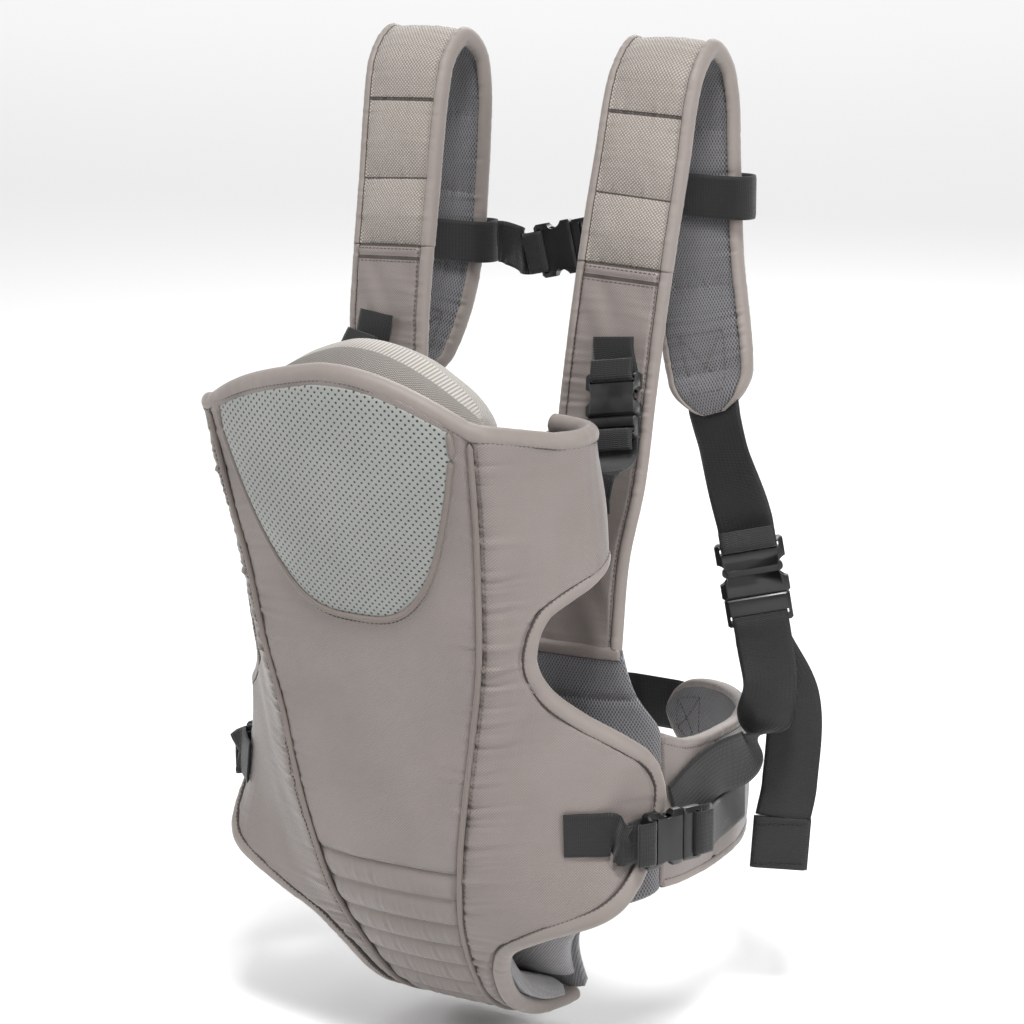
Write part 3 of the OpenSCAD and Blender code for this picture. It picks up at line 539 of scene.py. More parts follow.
def plastic():
    """Moulded plastic: satin black with a fine spark-eroded grain."""
    m, t, b = new_material("moulded_plastic")
    place = t.nodes.new("ShaderNodeTexCoord")
    grain, patch = noise(t, place, MOULD_GRAIN), noise(t, place, 90)
    mix = t.nodes.new("ShaderNodeMix")
    mix.data_type = "RGBA"
    t.links.new(patch.s, mix.inputs["Factor"])
    mix.inputs["A"].default_value = linear((11, 11, 12))
    mix.inputs["B"].default_value = linear((20, 20, 21))
    t.links.new(mix.outputs["Result"], b.inputs["Base Color"])
    t.links.new(patch.smooth(0.3, 0.7, 0.3, 0.42).s, b.inputs["Roughness"])
    b.inputs["Specular IOR Level"].default_value = 0.5
    roughen(t, b, grain, 0.25, 0.00008)
    return m


PLASTIC = plastic()


def finish_piece(ob, nodes=(), body="carrier", ride=True):
    if ride:
        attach(ob, body)
    if nodes:
        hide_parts(*nodes)
    return ob


# ---------------------------------------------------------------- camera
camera = bpy.data.objects.new("camera", bpy.data.cameras.new("camera"))
scene.collection.objects.link(camera)
camera.location = (1.1674, -1.9171, 0.1690)
camera.rotation_mode = "QUATERNION"
camera.rotation_quaternion = Vector((-0.5163, 0.8263, -0.2250)).to_track_quat("-Z", "Y")
camera.data.lens = 112.1
camera.data.sensor_width = 36
camera.data.clip_start, camera.data.clip_end = 0.05, 60
scene.camera = camera

# ---------------------------------------------------------------- pouch front

def puckers(d, w, size, seed):
    """Small gathers beside a seam: d is the distance from it, w the distance along it."""
    gathered = 0.25 + 1.5 * np.abs(wobble(w / 30, seed=seed + 3))
    return 3.2 * size * np.exp(-np.abs(d) / 19) * gathered * wobble(w / 1.7, d / 12, seed)


def soft_folds(s, w, size, seed):
    return size * wobble(w / 24 + s / 31, s / 17, seed)


RIB_PITCH, RIB_TOP = 22.0, 552


def centre_height(s, w):
    e = seam_x(w) - np.abs(s)
    return (PANEL + 0.9 - 2.4 * bump(e, 3.2) + puckers(e, w, 0.5, 1)
            + soft_folds(s, w, 0.9, 2) - 1.8 * bump(w - RIB_TOP, 3))


def pouch_centre():
    u = np.linspace(-1, 1, 121)
    w = np.linspace(PANEL_TOP, RIB_TOP - 0.5, 170)[:, None]
    s = u * (seam_x(w) - 0.1)
    dw = drop(s, w)
    uv = grid_uv(s, dw)
    ob = sandwich("front_centre", off(s, dw, centre_height(s, w)), off(s, dw, 0), [TAUPE], uv)
    finish_piece(ob, ["front_centre_panel"])


def pouch_ribs():
    u = np.linspace(-1, 1, 61)
    w = np.linspace(RIB_TOP - 1, PANEL_END, 240)[:, None]
    s = u * (seam_x(w) - 0.1)
    e = seam_x(w) - np.abs(s)
    tuck = 0.5 * puckers(w * 0, s * 1.7, 1.0, 5) * bump(((w - RIB_TOP) % RIB_PITCH) - RIB_PITCH / 2, 9)
    puff = np.abs(np.sin((w - RIB_TOP) * math.pi / RIB_PITCH)) ** 0.55
    h = PANEL - 2.6 + 3.6 * puff * (1 - 0.6 * bump(e, 5)) - 1.2 * bump(e, 3) + tuck
    ob = sandwich("rib_channels", off(s, w, h), off(s, w, 0), [TAUPE], grid_uv(s, w))
    finish_piece(ob, ["rib_band"])
    for wk in np.arange(RIB_TOP, PANEL_END - 8, RIB_PITCH):
        sk = np.linspace(-1, 1, 40) * (seam_x(wk) - 3)
        stitch(off(sk, wk, PANEL - 2.6), front_out(sk, wk * np.ones_like(sk)))


def wing_height(s, w, side):
    e = np.abs(s) - seam_x(w)
    edge = reach(w) - e
    strong = 0.55 + 0.6 * bump(w - 400, 120)
    return (PANEL + 0.7 - 2.4 * bump(e, 3.2) - 0.6 * bump(edge, 6) + puckers(e, w, 1.1 * strong, 7 + side)
            + puckers(edge, w, 0.3, 9 + side) - 1.5 * bump(edge - 4.4, 1.7) + soft_folds(e, w, 1.6, 4 + side))


def pouch_wing(side):
    u = np.linspace(0, 1, 96)
    w = steps((PANEL_TOP, ARMHOLE, 44), (ARMHOLE, LEG_END, 190), (LEG_END, PANEL_END, 60))[:, None]
    s = side * (seam_x(w) + np.maximum(0.1, u * reach(w)))
    dw = drop(s, w)
    name = SIDES[side]
    outer = off(s, dw, wing_height(s, w, side))
    ob = sandwich("front_wing_cloth_" + name, outer, off(s, dw, 0), [TAUPE], grid_uv(s, dw))
    finish_piece(ob, ["front_wing_" + name])
    w = np.linspace(244, PANEL_END - 4, 260)
    s = side * (seam_x(w) + 3.4)
    stitch(off(s, drop(s, w), wing_height(s, w, side)), front_out(s, drop(s, w)))


def pouch_lining():
    u = np.linspace(-1, 1, 200)
    w = steps((PANEL_TOP, ARMHOLE, 30), (ARMHOLE, LEG_END, 130), (LEG_END, PANEL_END, 40))[:, None]
    s = u * (seam_x(w) + reach(w))
    dw = drop(s, w)
    uv = grid_uv(s, dw)
    h = -LINING - 0.3 - 0.5 * wobble(s / 15, w / 15, 3)
    ob = sandwich("lining", off(s, dw, -0.3), off(s, dw, h), [MESH], uv)
    finish_piece(ob, ["pouch_lining"])


PAD_HALF = 88


def pad_low(s):
    return 370 - 120 * (np.abs(s) / PAD_HALF) ** 3.2


def pad_point(u, t):
    s = u * PAD_HALF
    w0 = top_w(s) + 5
    return s, w0 + (pad_low(s) - w0) * t


def head_pad():
    u = np.sin(np.linspace(-1, 1, 150) * math.pi / 2)
    t = (1 - np.cos(np.linspace(0, 1, 120) * math.pi))[:, None] / 2
    s, w = pad_point(u, t)
    crown = ramp(1.02 * np.minimum(4 * t * (1 - t), 1) * (1 - np.abs(u) ** 5)) ** 0.38
    h = PANEL + 0.6 + 4.6 * crown + soft_folds(s, w, 0.25, 6)
    ob = sandwich("perforated_head_pad", off(s, w, h), off(s, w, PANEL - 1), [PERFORATED], grid_uv(s, w))
    finish_piece(ob, ["head_pad"])
    ui = np.linspace(-1, 1, 260)
    s, w = pad_point(ui, 1.0)
    path = off(s, w + 1.6, PANEL + 1.6)
    ob = cord_piece("head_pad_piping", path, 2.1, PIPING, front_out(s, w + 1.6), 3)
    finish_piece(ob)
    stitch(off(s, w + 5.2, PANEL + 0.9), front_out(s, w + 5.2))
    for side in (-1, 1):
        ts = np.linspace(0, 1, 30)
        s, w = pad_point(side * np.ones(30), ts)
        ob = cord_piece("head_pad_side_piping_" + SIDES[side], off(s + side * 1.2, w, PANEL + 1.6), 2.1,
                        PIPING, front_out(s, w), 3)
        finish_piece(ob)


def tape_section(low, half, top, n=14):
    """A tape folded over an edge: (along the cloth, through it)."""
    a = np.linspace(0, math.pi, n)
    arch = np.stack([1.0 + (top - 1.0) * np.sin(a), (half + 0.9) * np.cos(a)], -1)
    left = np.array([
        [low, half - 1.3], [low + 0.35, half - 0.3], [low + 1.2, half - 0.1], [low + 2.2, half + 0.5]])
    right = left[::-1] * [1, -1]
    return np.concatenate([left, arch, right])


def bound_edge(name, path, out, normal, nodes, low=-3.8, half=5.2, top=8.0):
    """path runs along the cloth's raw edge, out points off the cloth in its plane, normal through it."""
    path = path + normal * (0.25 * wobble(np.arange(len(path)) / 2.1)[:, None])
    sec = tape_section(low, half, top)
    n = len(sec)
    columns = np.zeros(n, int)
    # The faces where the tape tucks into the cloth, and the closing face between them, take the painted seam
    # shade: a dark line painted for the shadow there
    columns[[0, 1, n - 3, n - 2, n - 1]] = 1
    ob = sweep(name, path, out, normal, sec, [TAPE, PAINTED_SEAM_SHADE], columns)
    finish_piece(ob, nodes)
    for s in (1, -1):
        stitch(path + out * (low + 1.3) + normal * (s * (half - 0.1)), normal * s)


def pouch_edges():
    u = np.linspace(-1, 1, 330)
    s = u * (seam_x(PANEL_TOP) + reach(PANEL_TOP) + 1)
    w = top_w(s)
    base = off(s, w, MID)
    out = unit(off(s, w - 3, MID) - off(s, w + 3, MID))
    bound_edge("top_edge_binding", base, out, front_out(s, w), ["top_binding"])
    for side in (-1, 1):
        name = SIDES[side]
        w = steps((243, 320, 60), (320, LEG_END, 330), (LEG_END, PANEL_END, 70))
        s = side * (seam_x(w) + reach(w))
        a, b = side * (seam_x(w - 2) + reach(w - 2)), side * (seam_x(w + 2) + reach(w + 2))
        e = unit(front(b, drop(b, w + 2)) - front(a, drop(a, w - 2)))
        o = front_out(s, drop(s, w))
        out = side * unit(np.cross(o, e))
        bound_edge("side_edge_binding_" + name, off(s, drop(s, w), MID), out, o,
                   ["side_binding"] if side > 0 else [])
        w = np.linspace(240, PANEL_END - 3, 320)
        s = side * seam_x(w)
        o = unit(front_out(s - side * 0.6, drop(s, w)) + front_out(s + side * 0.6, drop(s, w)))
        path = front(s, drop(s, w)) + o * (PANEL + 0.2)
        ob = cord_piece("seam_piping_" + name, path, 2.0, PIPING, o, 4)
        finish_piece(ob, ["seam_piping"] if side > 0 else [])


def cushion_face(u, t, s, w, outer):
    swell = ramp((1 - np.abs(u) ** 3.2) * ramp(t * 6 + 0.06) * ramp((1 - t) * 3)) ** 0.5
    base = off(s, w, -LINING - 1.6)
    crown = 44 * (1 - t) ** 3 * (1 - 0.62 * u * u)
    if outer:
        return base + np.stack(np.broadcast_arrays(0 * u * t, 16 * (1 - t) ** 4 + 0 * u, 0.45 * crown), -1)
    return base + np.stack(np.broadcast_arrays(
        0 * u * t, 4 + 62 * swell + 14 * (1 - t) ** 4, 0.75 * crown * (1 - ramp(1 - t * 5) * 0.3)), -1)


def headrest():
    u = np.linspace(-1, 1, 120)
    t = (np.linspace(0, 1, 90) ** 1.6)[:, None]
    s = u * 92 * (0.86 + 0.14 * ramp(t * 3) ** 0.5) + 16 * (1 - t) ** 2
    w = top_w(s) + 6 + (338 - top_w(s)) * t
    a, b = cushion_face(u, t, s, w, True), cushion_face(u, t, s, w, False)
    n = unit(np.cross(np.gradient(b, axis=0), np.gradient(b, axis=1)))
    b = b + n * (0.6 * wobble(s / 14, w / 12, 8))[..., None]
    down = np.cumsum(np.linalg.norm(np.diff(b, axis=0, prepend=b[:1]), axis=2), 0)
    across = np.cumsum(np.linalg.norm(np.diff(b, axis=1, prepend=b[:, :1]), axis=2), 1)
    ob = sandwich("headrest", a, b, [MESH_LIGHT], grid_uv(across - across[:, 60:61], down))
    finish_piece(ob, ["headrest_cushion"])


# ---------------------------------------------------------------- the wearer's side
def quilt_line(z, zs, depth=2.2, width=3.0):
    return sum(-depth * bump(z - k, width) for k in zs)


def wearer_side():
    zs = (-445, -508, -560)
    u = np.linspace(-1, 1, 130)
    z = steps((-411.3, -600, 110), (-600, -682, 50))[:, None]
    q = u * wearer_half(z)
    e = wearer_half(z) - np.abs(q)
    puff = 5.2 + quilt_line(z, zs) - 2 * bump(e, 4) + 0.5 * wobble(q / 14, z / 14, 3)
    ob = sandwich("wearer_mesh_panel", wearer_off(q, z, puff), wearer_off(q, z, -puff), [MESH], grid_uv(q, z))
    finish_piece(ob, ["wearer_panel_mesh"])
    for zk in zs:
        qs = np.linspace(-1, 1, 90) * (wearer_half(zk) - 4)
        for h in (3.2, -3.2):
            a = wearer_off(qs, zk, h)
            stitch(a, unit(a - wearer(qs, zk)))
    u = np.linspace(-1, 1, 60)
    z = np.linspace(-300, -413, 60)[:, None]
    x = u * 54 + 0 * z
    y = -114 + (z + 411) * 0.1 + 2 * u * u
    puff = 4.2 - 1.6 * bump(54 - np.abs(x), 4) + 0.5 * wobble(x / 9, z / 11, 2) - 1.4 * bump(z + 411, 4)
    zz = z + 0 * x
    outer, inner = np.stack([x, y - puff, zz], -1), np.stack([x, y + puff, zz], -1)
    # The upper panel takes the satin with painted shade, darkened for the shadow between the straps
    ob = sandwich("wearer_upper_panel", outer, inner, [TAUPE_PAINTED_SHADE], grid_uv(x, zz))
    finish_piece(ob, ["wearer_panel_upper"])
    x = np.linspace(-1, 1, 80) * 55
    path = np.stack([x, -114 + 11.1 + 2 * (x / 54) ** 2, np.full(80, -300.0)], -1)
    up = np.tile([0.0, 0, 1], (80, 1))
    bound_edge("wearer_panel_top_binding", path, up, np.tile([0.0, -1, 0], (80, 1)), [], -6, 4.6, 6)
    qs = np.linspace(-1, 1, 120) * (wearer_half(-412) - 1)
    path = wearer(qs, -411.0)
    nrm = unit(wearer_off(qs, -412, 1) - wearer(qs, -412))
    bound_edge("mesh_panel_top_binding", path, np.tile([0.0, 0, 1], (120, 1)), nrm, [], -6, 5.6, 5.0)


def crotch_width(w):
    return lut([[596, 16], [640, 22], [780, 24]], w)


def crotch_pads():
    back = 5.6 - MID + 0.5
    w = np.linspace(596, PANEL_END - 26, 90)[:, None]
    u = np.linspace(-1, 1, 80)
    s = u * (seam_x(w) + crotch_width(w))
    body = ramp((1 - np.abs(u) ** 8) * ramp((w - 594) / 40) * ramp((778 - w) / 60)) ** 0.5
    deep = -back - 2 - 14 * body * (1 - 0.1 * bump(s, 4)) + 0.4 * wobble(s / 9, w / 11, 5)
    ob = sandwich("crotch_roll_front", off(s, w, -back), off(s, w, deep), [ROLL_MESH], grid_uv(s, w))
    finish_piece(ob, ["crotch_pad_front"])
    z = np.linspace(-598, -662, 60)[:, None]
    q = u * (wearer_half(z) - 3)
    body = ramp((1 - np.abs(u) ** 6) * ramp((-596 - z) / 24) * ramp((z + 666) / 20)) ** 0.5
    ob = sandwich("crotch_roll_back", wearer_off(q, z, 7.6 + 11 * body), wearer_off(q, z, 5.6), [ROLL_MESH],
                  grid_uv(q, z))
    finish_piece(ob, ["crotch_pad_back"])


WING_BEND, WING_END = 400, 40  # where the rounded end begins, and how long it is
# The six lines of a boxed cross, between the corners 0 to 3
BOXED_CROSS = [(0, 1), (1, 2), (2, 3), (3, 0), (0, 2), (1, 3)]
WING_TOP = [
    [152, -476], [180, -486], [240, -491], [320, -494], [380, -499], [415, -506], [432, -516], [440, -528]]
WING_LOW = [
    [152, -585], [180, -586], [240, -586], [320, -582], [380, -574], [415, -562], [432, -550], [440, -538]]


def wing_place(side, q, v, h):
    """A point of a waist wing: q along the ring, v from 0 at its upper edge to 1, h through it."""
    q, v, h = np.broadcast_arrays(*(np.asarray(x, float) for x in (q, v, h)))
    p = ring(side * q)
    top, low = lut(WING_TOP, q), lut(WING_LOW, q)
    fat = 0.3 + 0.7 * ramp(4 * v * (1 - v)) ** 0.35
    z = top + (low - top) * v
    return np.stack([p[..., 0], p[..., 1], z], -1) + ring_out(side * q) * (h * fat)[..., None]


def waist_wing(side):
    name = SIDES[side]
    round_end = WING_BEND + WING_END * np.sin(np.linspace(0, 1, 44) * math.pi / 2)
    q = np.concatenate([np.linspace(151, WING_BEND, 120)[:-1], round_end])[:, None]
    v = (1 - np.cos(np.linspace(0, 1, 52) * math.pi)) / 2
    z = lut(WING_TOP, q) + (lut(WING_LOW, q) - lut(WING_TOP, q)) * v
    outer = (6.0 - 1.5 * bump(q - 216, 3) + 0.6 * wobble(q / 19, v * 5, side)
             - 1.2 * bump(v - 0.5, 0.03) * ramp((q - 216) / 5))
    inner = -6.0 + 1.5 * bump(q - 216, 3) + 0.4 * wobble(q / 13, v * 7, 4)
    ob = sandwich("waist_wing_pad_" + name, wing_place(side, q, v, outer), wing_place(side, q, v, inner),
                  [TAUPE, MESH], grid_uv(q, z))
    finish_piece(ob, ["waist_wing_" + name])
    round_end = WING_BEND + WING_END * np.sin(np.linspace(0, 1, 40)[:-1] * math.pi / 2)
    a = np.concatenate([np.linspace(153, WING_BEND, 150)[:-1], round_end])
    x, y, _ = ring(side * a).T
    upper, lower = (np.stack([x, y, lut(table, a)], -1) for table in (WING_TOP, WING_LOW))
    path = np.concatenate([upper, lower[::-1]])
    nrm = np.concatenate([ring_out(side * a), ring_out(side * a[::-1])])
    out = unit(np.cross(along_of(path), nrm)) * -side
    centre = path.mean(0)
    if ((path - centre) * out).sum() < 0:
        out = -out
    bound_edge("waist_wing_binding_" + name, path - out * 1.5, out, nrm, [], -4.5, 3.9, 3.2)
    corners = [(428, 0.24), (398, 0.18), (398, 0.82), (428, 0.76)]
    for i, j in BOXED_CROSS:
        qs = np.linspace(corners[i][0], corners[j][0], 24)
        vs = np.linspace(corners[i][1], corners[j][1], 24)
        for h in (6.0, -6.0):
            stitch(wing_place(side, qs, vs, h), ring_out(side * qs) * np.sign(h))


# ---------------------------------------------------------------- shoulder straps
STRAP = [
    [0, 89, -110, -410, 1, 0.85], [60, 89, -101, -350, 1, 0.85], [115, 90, -82, -300, 1, 0.85],
    [176, 91, -70, -240, 1, 0.9], [216, 93, -64, -200, 1, 0.95], [258, 94.5, -56, -160, 1, 1],
    [299, 96, -47, -120, 1, 1], [340, 98, -38, -80, 1, 1], [372, 99, -31, -48, 1, 1],
    [396, 100, -22, -26, 1, 1], [424, 100, -2, -11, 1, 1], [450, 100, 19, -24, 1, 1],
    [478, 101, 27, -50, 1, 1], [510, 102, 27.5, -82, 1, 1],
    [550, 104, 27, -122, 1, 1], [590, 107, 26.2, -162, 1, 1], [632, 114, 23, -203, 1, 1],
    [668, 123, 16, -238, 0.94, 0.95], [682, 127, 11, -251, 0.78, 0.85], [691, 129.5, 9, -260, 0.5, 0.7],
    [696, 131, 8, -264.5, 0.24, 0.5]]
STRAP_LEAN = [[0, 0.1], [300, 0.1], [424, 0], [632, 0], [696, -0.03]]
HALF_W, HALF_T, JOIN = 35.0, 7.5, 262


def strap_axes(side, x):
    p, a, b = (np.stack([side * lut(STRAP, x + k, 1), lut(STRAP, x + k, 2), lut(STRAP, x + k, 3)], -1)
               for k in (0, 0.5, -0.5))
    d = unit(a - b)
    w = np.stack([1 + 0 * x, side * lut(STRAP_LEAN, x), 0 * x], -1)
    w = unit(w - d * (w * d).sum(-1, keepdims=True))
    return p, w, np.cross(d, w)


QUILT = [310, 365, 437, 497, 552, 607]


def between(x, lines):
    """From 0 on each line to 1 halfway to the next."""
    k = np.clip(np.searchsorted(lines, x) - 1, 0, len(lines) - 2)
    lines = np.array(lines, float)
    t = np.clip((x - lines[k]) / (lines[k + 1] - lines[k]), 0, 1)
    return np.sin(t * math.pi)


BAND = 9.0


def strap_face_height(x, a, face, pad):
    """Share of the half thickness: puffed between the quilting lines, drawn in beside the bound edges."""
    inner = ramp((0.79 - np.abs(a)) / 0.012)
    across = ramp(1 - (np.abs(a) / 0.81) ** 3) ** 0.6
    crease = 0.04 * wobble(x / 9, a * 9, face) + 0.035 * puckers((np.abs(a) - 0.8) * HALF_W, x, 1.0, face + 4)
    if not pad:
        fold = ramp((x - JOIN + BAND) / 0.5)
        gather = 0.05 * puckers(x - JOIN, a * 60, 1.0, 12 + face) + 0.16 * wobble(x / 15 + a * 2, a * 4, 9)
        h = 0.80 + 0.12 * across * inner + gather * inner * (1 - fold)
        h = h + inner * fold * (0.26 * np.sin(ramp((x - JOIN + BAND) / BAND) * math.pi) - 0.14)
    else:
        arch = between(x, [JOIN] + QUILT + [668, 696])
        full = 0.55 * arch**0.4 + 0.45 * arch**1.4
        low, rise = (0.34, 0.84) if face < 0 else (0.55, 0.50)
        tug = 0.22 * wobble(a * 22, seed=5) * (1 - full) ** 2
        h = np.where(inner > 0, low + rise * full * across + tug * inner, 0.90)
    h = h - 0.26 * bump(np.abs(a) - 0.795, 0.026)
    return h + crease


def there_and_back(uv):
    return np.concatenate([uv, uv[:, ::-1], uv[:, :1]], 1)


def strap_rings(side, x, pad, n):
    """Rings round the strap: outer face from -1 to 1, then round the edge and back along the inner face."""
    p, w, b = strap_axes(side, x)
    hw, ht = HALF_W * lut(STRAP, x, 4), HALF_T * lut(STRAP, x, 5)
    a = np.concatenate([-np.linspace(1, 0.81, 9), np.linspace(-0.79, 0.79, n - 18), np.linspace(0.81, 1, 9)])
    rim = np.sqrt(np.clip(1 - np.clip((np.abs(a) - 0.86) / 0.14, 0, 1) ** 2 * 0.95, 0, 1))
    rows = []
    for face in (-1, 1):
        h = strap_face_height(x[:, None], a[None], face, pad) * rim[None]
        point = (p[:, None] + w[:, None] * (a[None, :, None] * hw[:, None, None])
                 + b[:, None] * (face * h * ht[:, None])[..., None])
        rows.append(point if face < 0 else point[:, ::-1])
    return np.concatenate(rows, 1), there_and_back(grid_uv(a[None] * hw[:, None], x[:, None])), a


def sew_strap(side, x, a, face, pad):
    """Stitches along a line of one face, x down the strap and a across it."""
    p, w, b = strap_axes(side, x)
    h = strap_face_height(x, a, face, pad) * HALF_T * lut(STRAP, x, 5)
    stitch(p + w * (a * HALF_W * lut(STRAP, x, 4))[:, None] + b * (face * h)[:, None], b * face)


def straps(side):
    name = SIDES[side]
    n = 54
    spans = {
        "pad": np.concatenate([np.arange(JOIN + 0.3, 690, 1.3), [690, 691.5, 693, 694.5, 695.8]]),
        "lower": np.linspace(0.4, JOIN + 0.2, 200)}
    for kind, x in spans.items():
        rings, uv, a = strap_rings(side, x, kind == "pad", n)
        mid = (a[:-1] + a[1:]) / 2
        edge = np.abs(mid) > 0.81
        cloth = 0 if kind == "pad" else 2
        columns = np.concatenate([np.where(edge, 1, cloth), [1], np.where(edge, 1, 3)[::-1], [1]])
        # A narrow band beside each bound edge takes the painted seam shade: a dark line painted in the crease
        # for its shadow
        seam = np.abs(np.abs(mid) - 0.80) < 0.011
        columns[:n - 1][seam], columns[n:-1][seam[::-1]] = 4, 4
        mats = [PADCLOTH, TAPE, TAUPE, MESH, PAINTED_SEAM_SHADE]
        # The rows on the quilting lines and at the join take the painted seam shade too: dark lines painted
        # in those creases for their shadow
        halfway = (x[:-1] + x[1:])[:, None] / 2
        sewn = np.abs(halfway - np.array(QUILT + [JOIN, JOIN - BAND])).min(1, keepdims=True) < 0.8

        def rows(slots):
            return np.where(sewn & ((slots == 0) | (slots == 2)), 4, slots)

        ob = loft(f"strap_{kind}_cushion_{name}", rings, mats, columns, uv, rows)
        finish_piece(ob, [f"strap_{kind}_{name}"])
    for kind, x in (("pad", np.arange(JOIN + 1, 684, 3.0)), ("lower", np.arange(2, JOIN, 3.0))):
        for face in (-1, 1):
            for e in (-0.775, 0.775):
                sew_strap(side, x, e + 0 * x, face, kind == "pad")
    for k in QUILT + [JOIN - BAND - 2.5, JOIN - 2.5]:
        for face in (-1, 1):
            sew_strap(side, np.full(34, float(k)), np.linspace(-0.77, 0.77, 34), face, k > JOIN)
    corners = [(682, -0.42), (682, 0.42), (640, 0.5), (640, -0.5)]
    for i, j in BOXED_CROSS:
        x, a = np.linspace(corners[i], corners[j], 26).T
        for face in (-1, 1):
            sew_strap(side, x, a, face, True)


# ---------------------------------------------------------------- webbing
NARROW, WIDE = 30.0, 40.0
WT, BH, SLOT, BAR = 0.9, 5.0, 4.4, 3.0  # webbing and buckle half thickness, slot, bar
RIBBON_STEP = 1.6


def axes(o, x, z):
    a = unit(np.array(x, float))
    z = np.array(z, float)
    c = unit(z - (z @ a) * a)
    return np.array(o, float), a, np.cross(c, a), c


def spot(f, x, y, z):
    return f[0] + f[1] * x + f[2] * y + f[3] * z


def sided(side, v):
    return [side * v[0], v[1], v[2]]


def shoulder_at(side):
    return axes([side * 109, -94, -252], sided(side, [0.2, -0.36, -0.91]), sided(side, [0.16, -0.95, 0.3]))


def waist_at(side):
    if side > 0:
        return axes([183, -128, -524], [0.4, 0.92, 0], [0.92, -0.4, 0])
    return axes([-174, -94, -524], [0.17, 0.98, 0], [-0.98, 0.17, 0])


def rear_at(side):
    return axes([side * 152, 36, -398], sided(side, [0.16, 0.07, -0.98]), sided(side, [0.5, -0.86, 0.02]))


CHEST = axes([-1, 40, -160], [0.94, 0.06, 0.22], [0.05, -1, 0])


def fem_loop(f, w):
    e, m = BH + 0.4 + WT, -w + BAR + SLOT / 2
    pts = [[-w - 14, -e + 2.4], [-w + 0.4, -e], [m - 0.2, -e + 0.6], [m, -2], [m, 2], [m - 0.2, e - 0.6],
           [-w + 0.4, e], [-w - 9, e - 1.2]]
    return [spot(f, p[0], 0, p[1]) for p in pts]


def male_loop(f, w, face=1):
    length = 0.5 * w
    e, m = BH + 0.4 + WT, length - BAR - SLOT / 2 + 0.1
    pts = [[length + 9, e - 1.6], [length - 0.4, e - 0.3], [m + 0.3, e - 1.4], [m, 2], [m, -2],
           [m + 0.3, -e + 1.2], [length - 0.4, -e], [length + 12, -e + 1]]
    return [spot(f, p[0], 0, face * p[1]) for p in pts]


def ribbon(name, pts, dirs, width, nodes, body="carrier", blend=None, thick=WT, wave=0.35):
    """A flat strap through the points: dirs give the way its width runs at each."""
    pts, dirs = np.array(pts, float), np.array(dirs, float)
    d = np.concatenate([[0], np.cumsum(np.linalg.norm(np.diff(pts, axis=0), axis=1))])
    rows = np.column_stack([d, pts, dirs])
    x = np.linspace(0, d[-1], max(12, int(d[-1] / RIBBON_STEP)))
    p = np.stack([lut(rows, x, c) for c in (1, 2, 3)], -1)
    w = np.stack([lut(rows, x, c) for c in (4, 5, 6)], -1)
    t = along_of(p)
    w = unit(w - t * (w * t).sum(-1, keepdims=True))
    b = np.cross(t, w)
    a = np.linspace(-1, 1, 13)
    edge = np.sqrt(np.clip(1 - np.clip((np.abs(a) - 0.93) / 0.07, 0, 1) ** 2 * 0.75, 0, 1))
    cup = wave * wobble(x / 17, seed=len(name))[:, None] * (a[None] ** 2 - 0.4)
    faces = []
    for face in (-1, 1):
        h = face * thick * edge[None] + cup
        point = p[:, None] + w[:, None] * (a * width / 2)[None, :, None] + b[:, None] * h[..., None]
        faces.append(point if face < 0 else point[:, ::-1])
    uv = there_and_back(grid_uv((a * width / 2)[None], x[:, None]))
    ob = loft(name, np.concatenate(faces, 1), [WEBBING], None, uv)
    finish_piece(ob, nodes, body, ride=blend is None)
    if blend:
        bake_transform(ob)


def shoulder_webbing(side):
    name = SIDES[side]
    f = shoulder_at(side)
    face = np.array([0, -HALF_T * 0.95 - WT - 2, 0])
    loop = fem_loop(f, NARROW)
    pts = [np.array([side * 97, -64.5, -201]) + face, np.array([side * 98, -66, -210]) + face] + loop[1:]
    dirs = [sided(side, [1, 0.1, 0])] * 2 + [f[2] * side] * 7
    ribbon("shoulder_tab_webbing_" + name, pts, dirs, NARROW, ["shoulder_tab_" + name])
    loop = male_loop(f, NARROW)
    w, h = 288.0, PANEL + 0.3 + WT
    s = side * (seam_x(w) + 114)
    flat = side * unit(off(s - side * 4, w, h) - off(s + side * 4, w, h))
    pts = loop + [off(s, w - 6, h + 6), off(s, w + 6, h + 1.4), off(s, w + 16, h + 0.6)]
    dirs = [f[2] * side] * 8 + [side * flat] * 3
    body = "shoulder_buckle_half_" + name
    ribbon("pouch_tab_webbing_" + name, pts, dirs, NARROW, ["pouch_tab_" + name],
           blend=("carrier", body, pts[-2], pts[7]))


def waist_webbings(side):
    name = SIDES[side]
    f = waist_at(side)
    w, h = 520.0, PANEL + 0.3 + WT + 1.9
    way = [66, 74, 82, 90, 98] if side > 0 else [96, 102, 108, 114, 120, 126]
    lift = 76 if side > 0 else 96
    q = seam_x(w)
    sewn = [off(side * (q + d), w, h + ramp((d - lift) / 30) ** 2 * 5) for d in way]
    tilt = [unit(off(side * (q + d), w - 10, h) - off(side * (q + d), w + 10, h)) for d in way]
    loop = fem_loop(f, NARROW)
    ribbon("waist_tab_webbing_" + name, sewn + loop, tilt + [[0, 0, 1]] * 8, NARROW, ["waist_tab_" + name])
    loop = male_loop(f, NARROW)
    h = 7.9

    def on_ring(a, z):
        return ring(side * a) + [0, 0, z] + ring_out(side * a) * h

    pts = loop + [np.array([side * 173.0, -66, -538]), on_ring(206.0, -549) + sided(side, [4, 0, 0]),
                  on_ring(232.0, -551), on_ring(262.0, -550)]
    ribbon("waist_strap_webbing_" + name, pts, [[0, 0, 1]] * 12, NARROW, ["waist_webbing_" + name],
           blend=("carrier", "waist_buckle_half_" + name, pts[9], pts[7]))


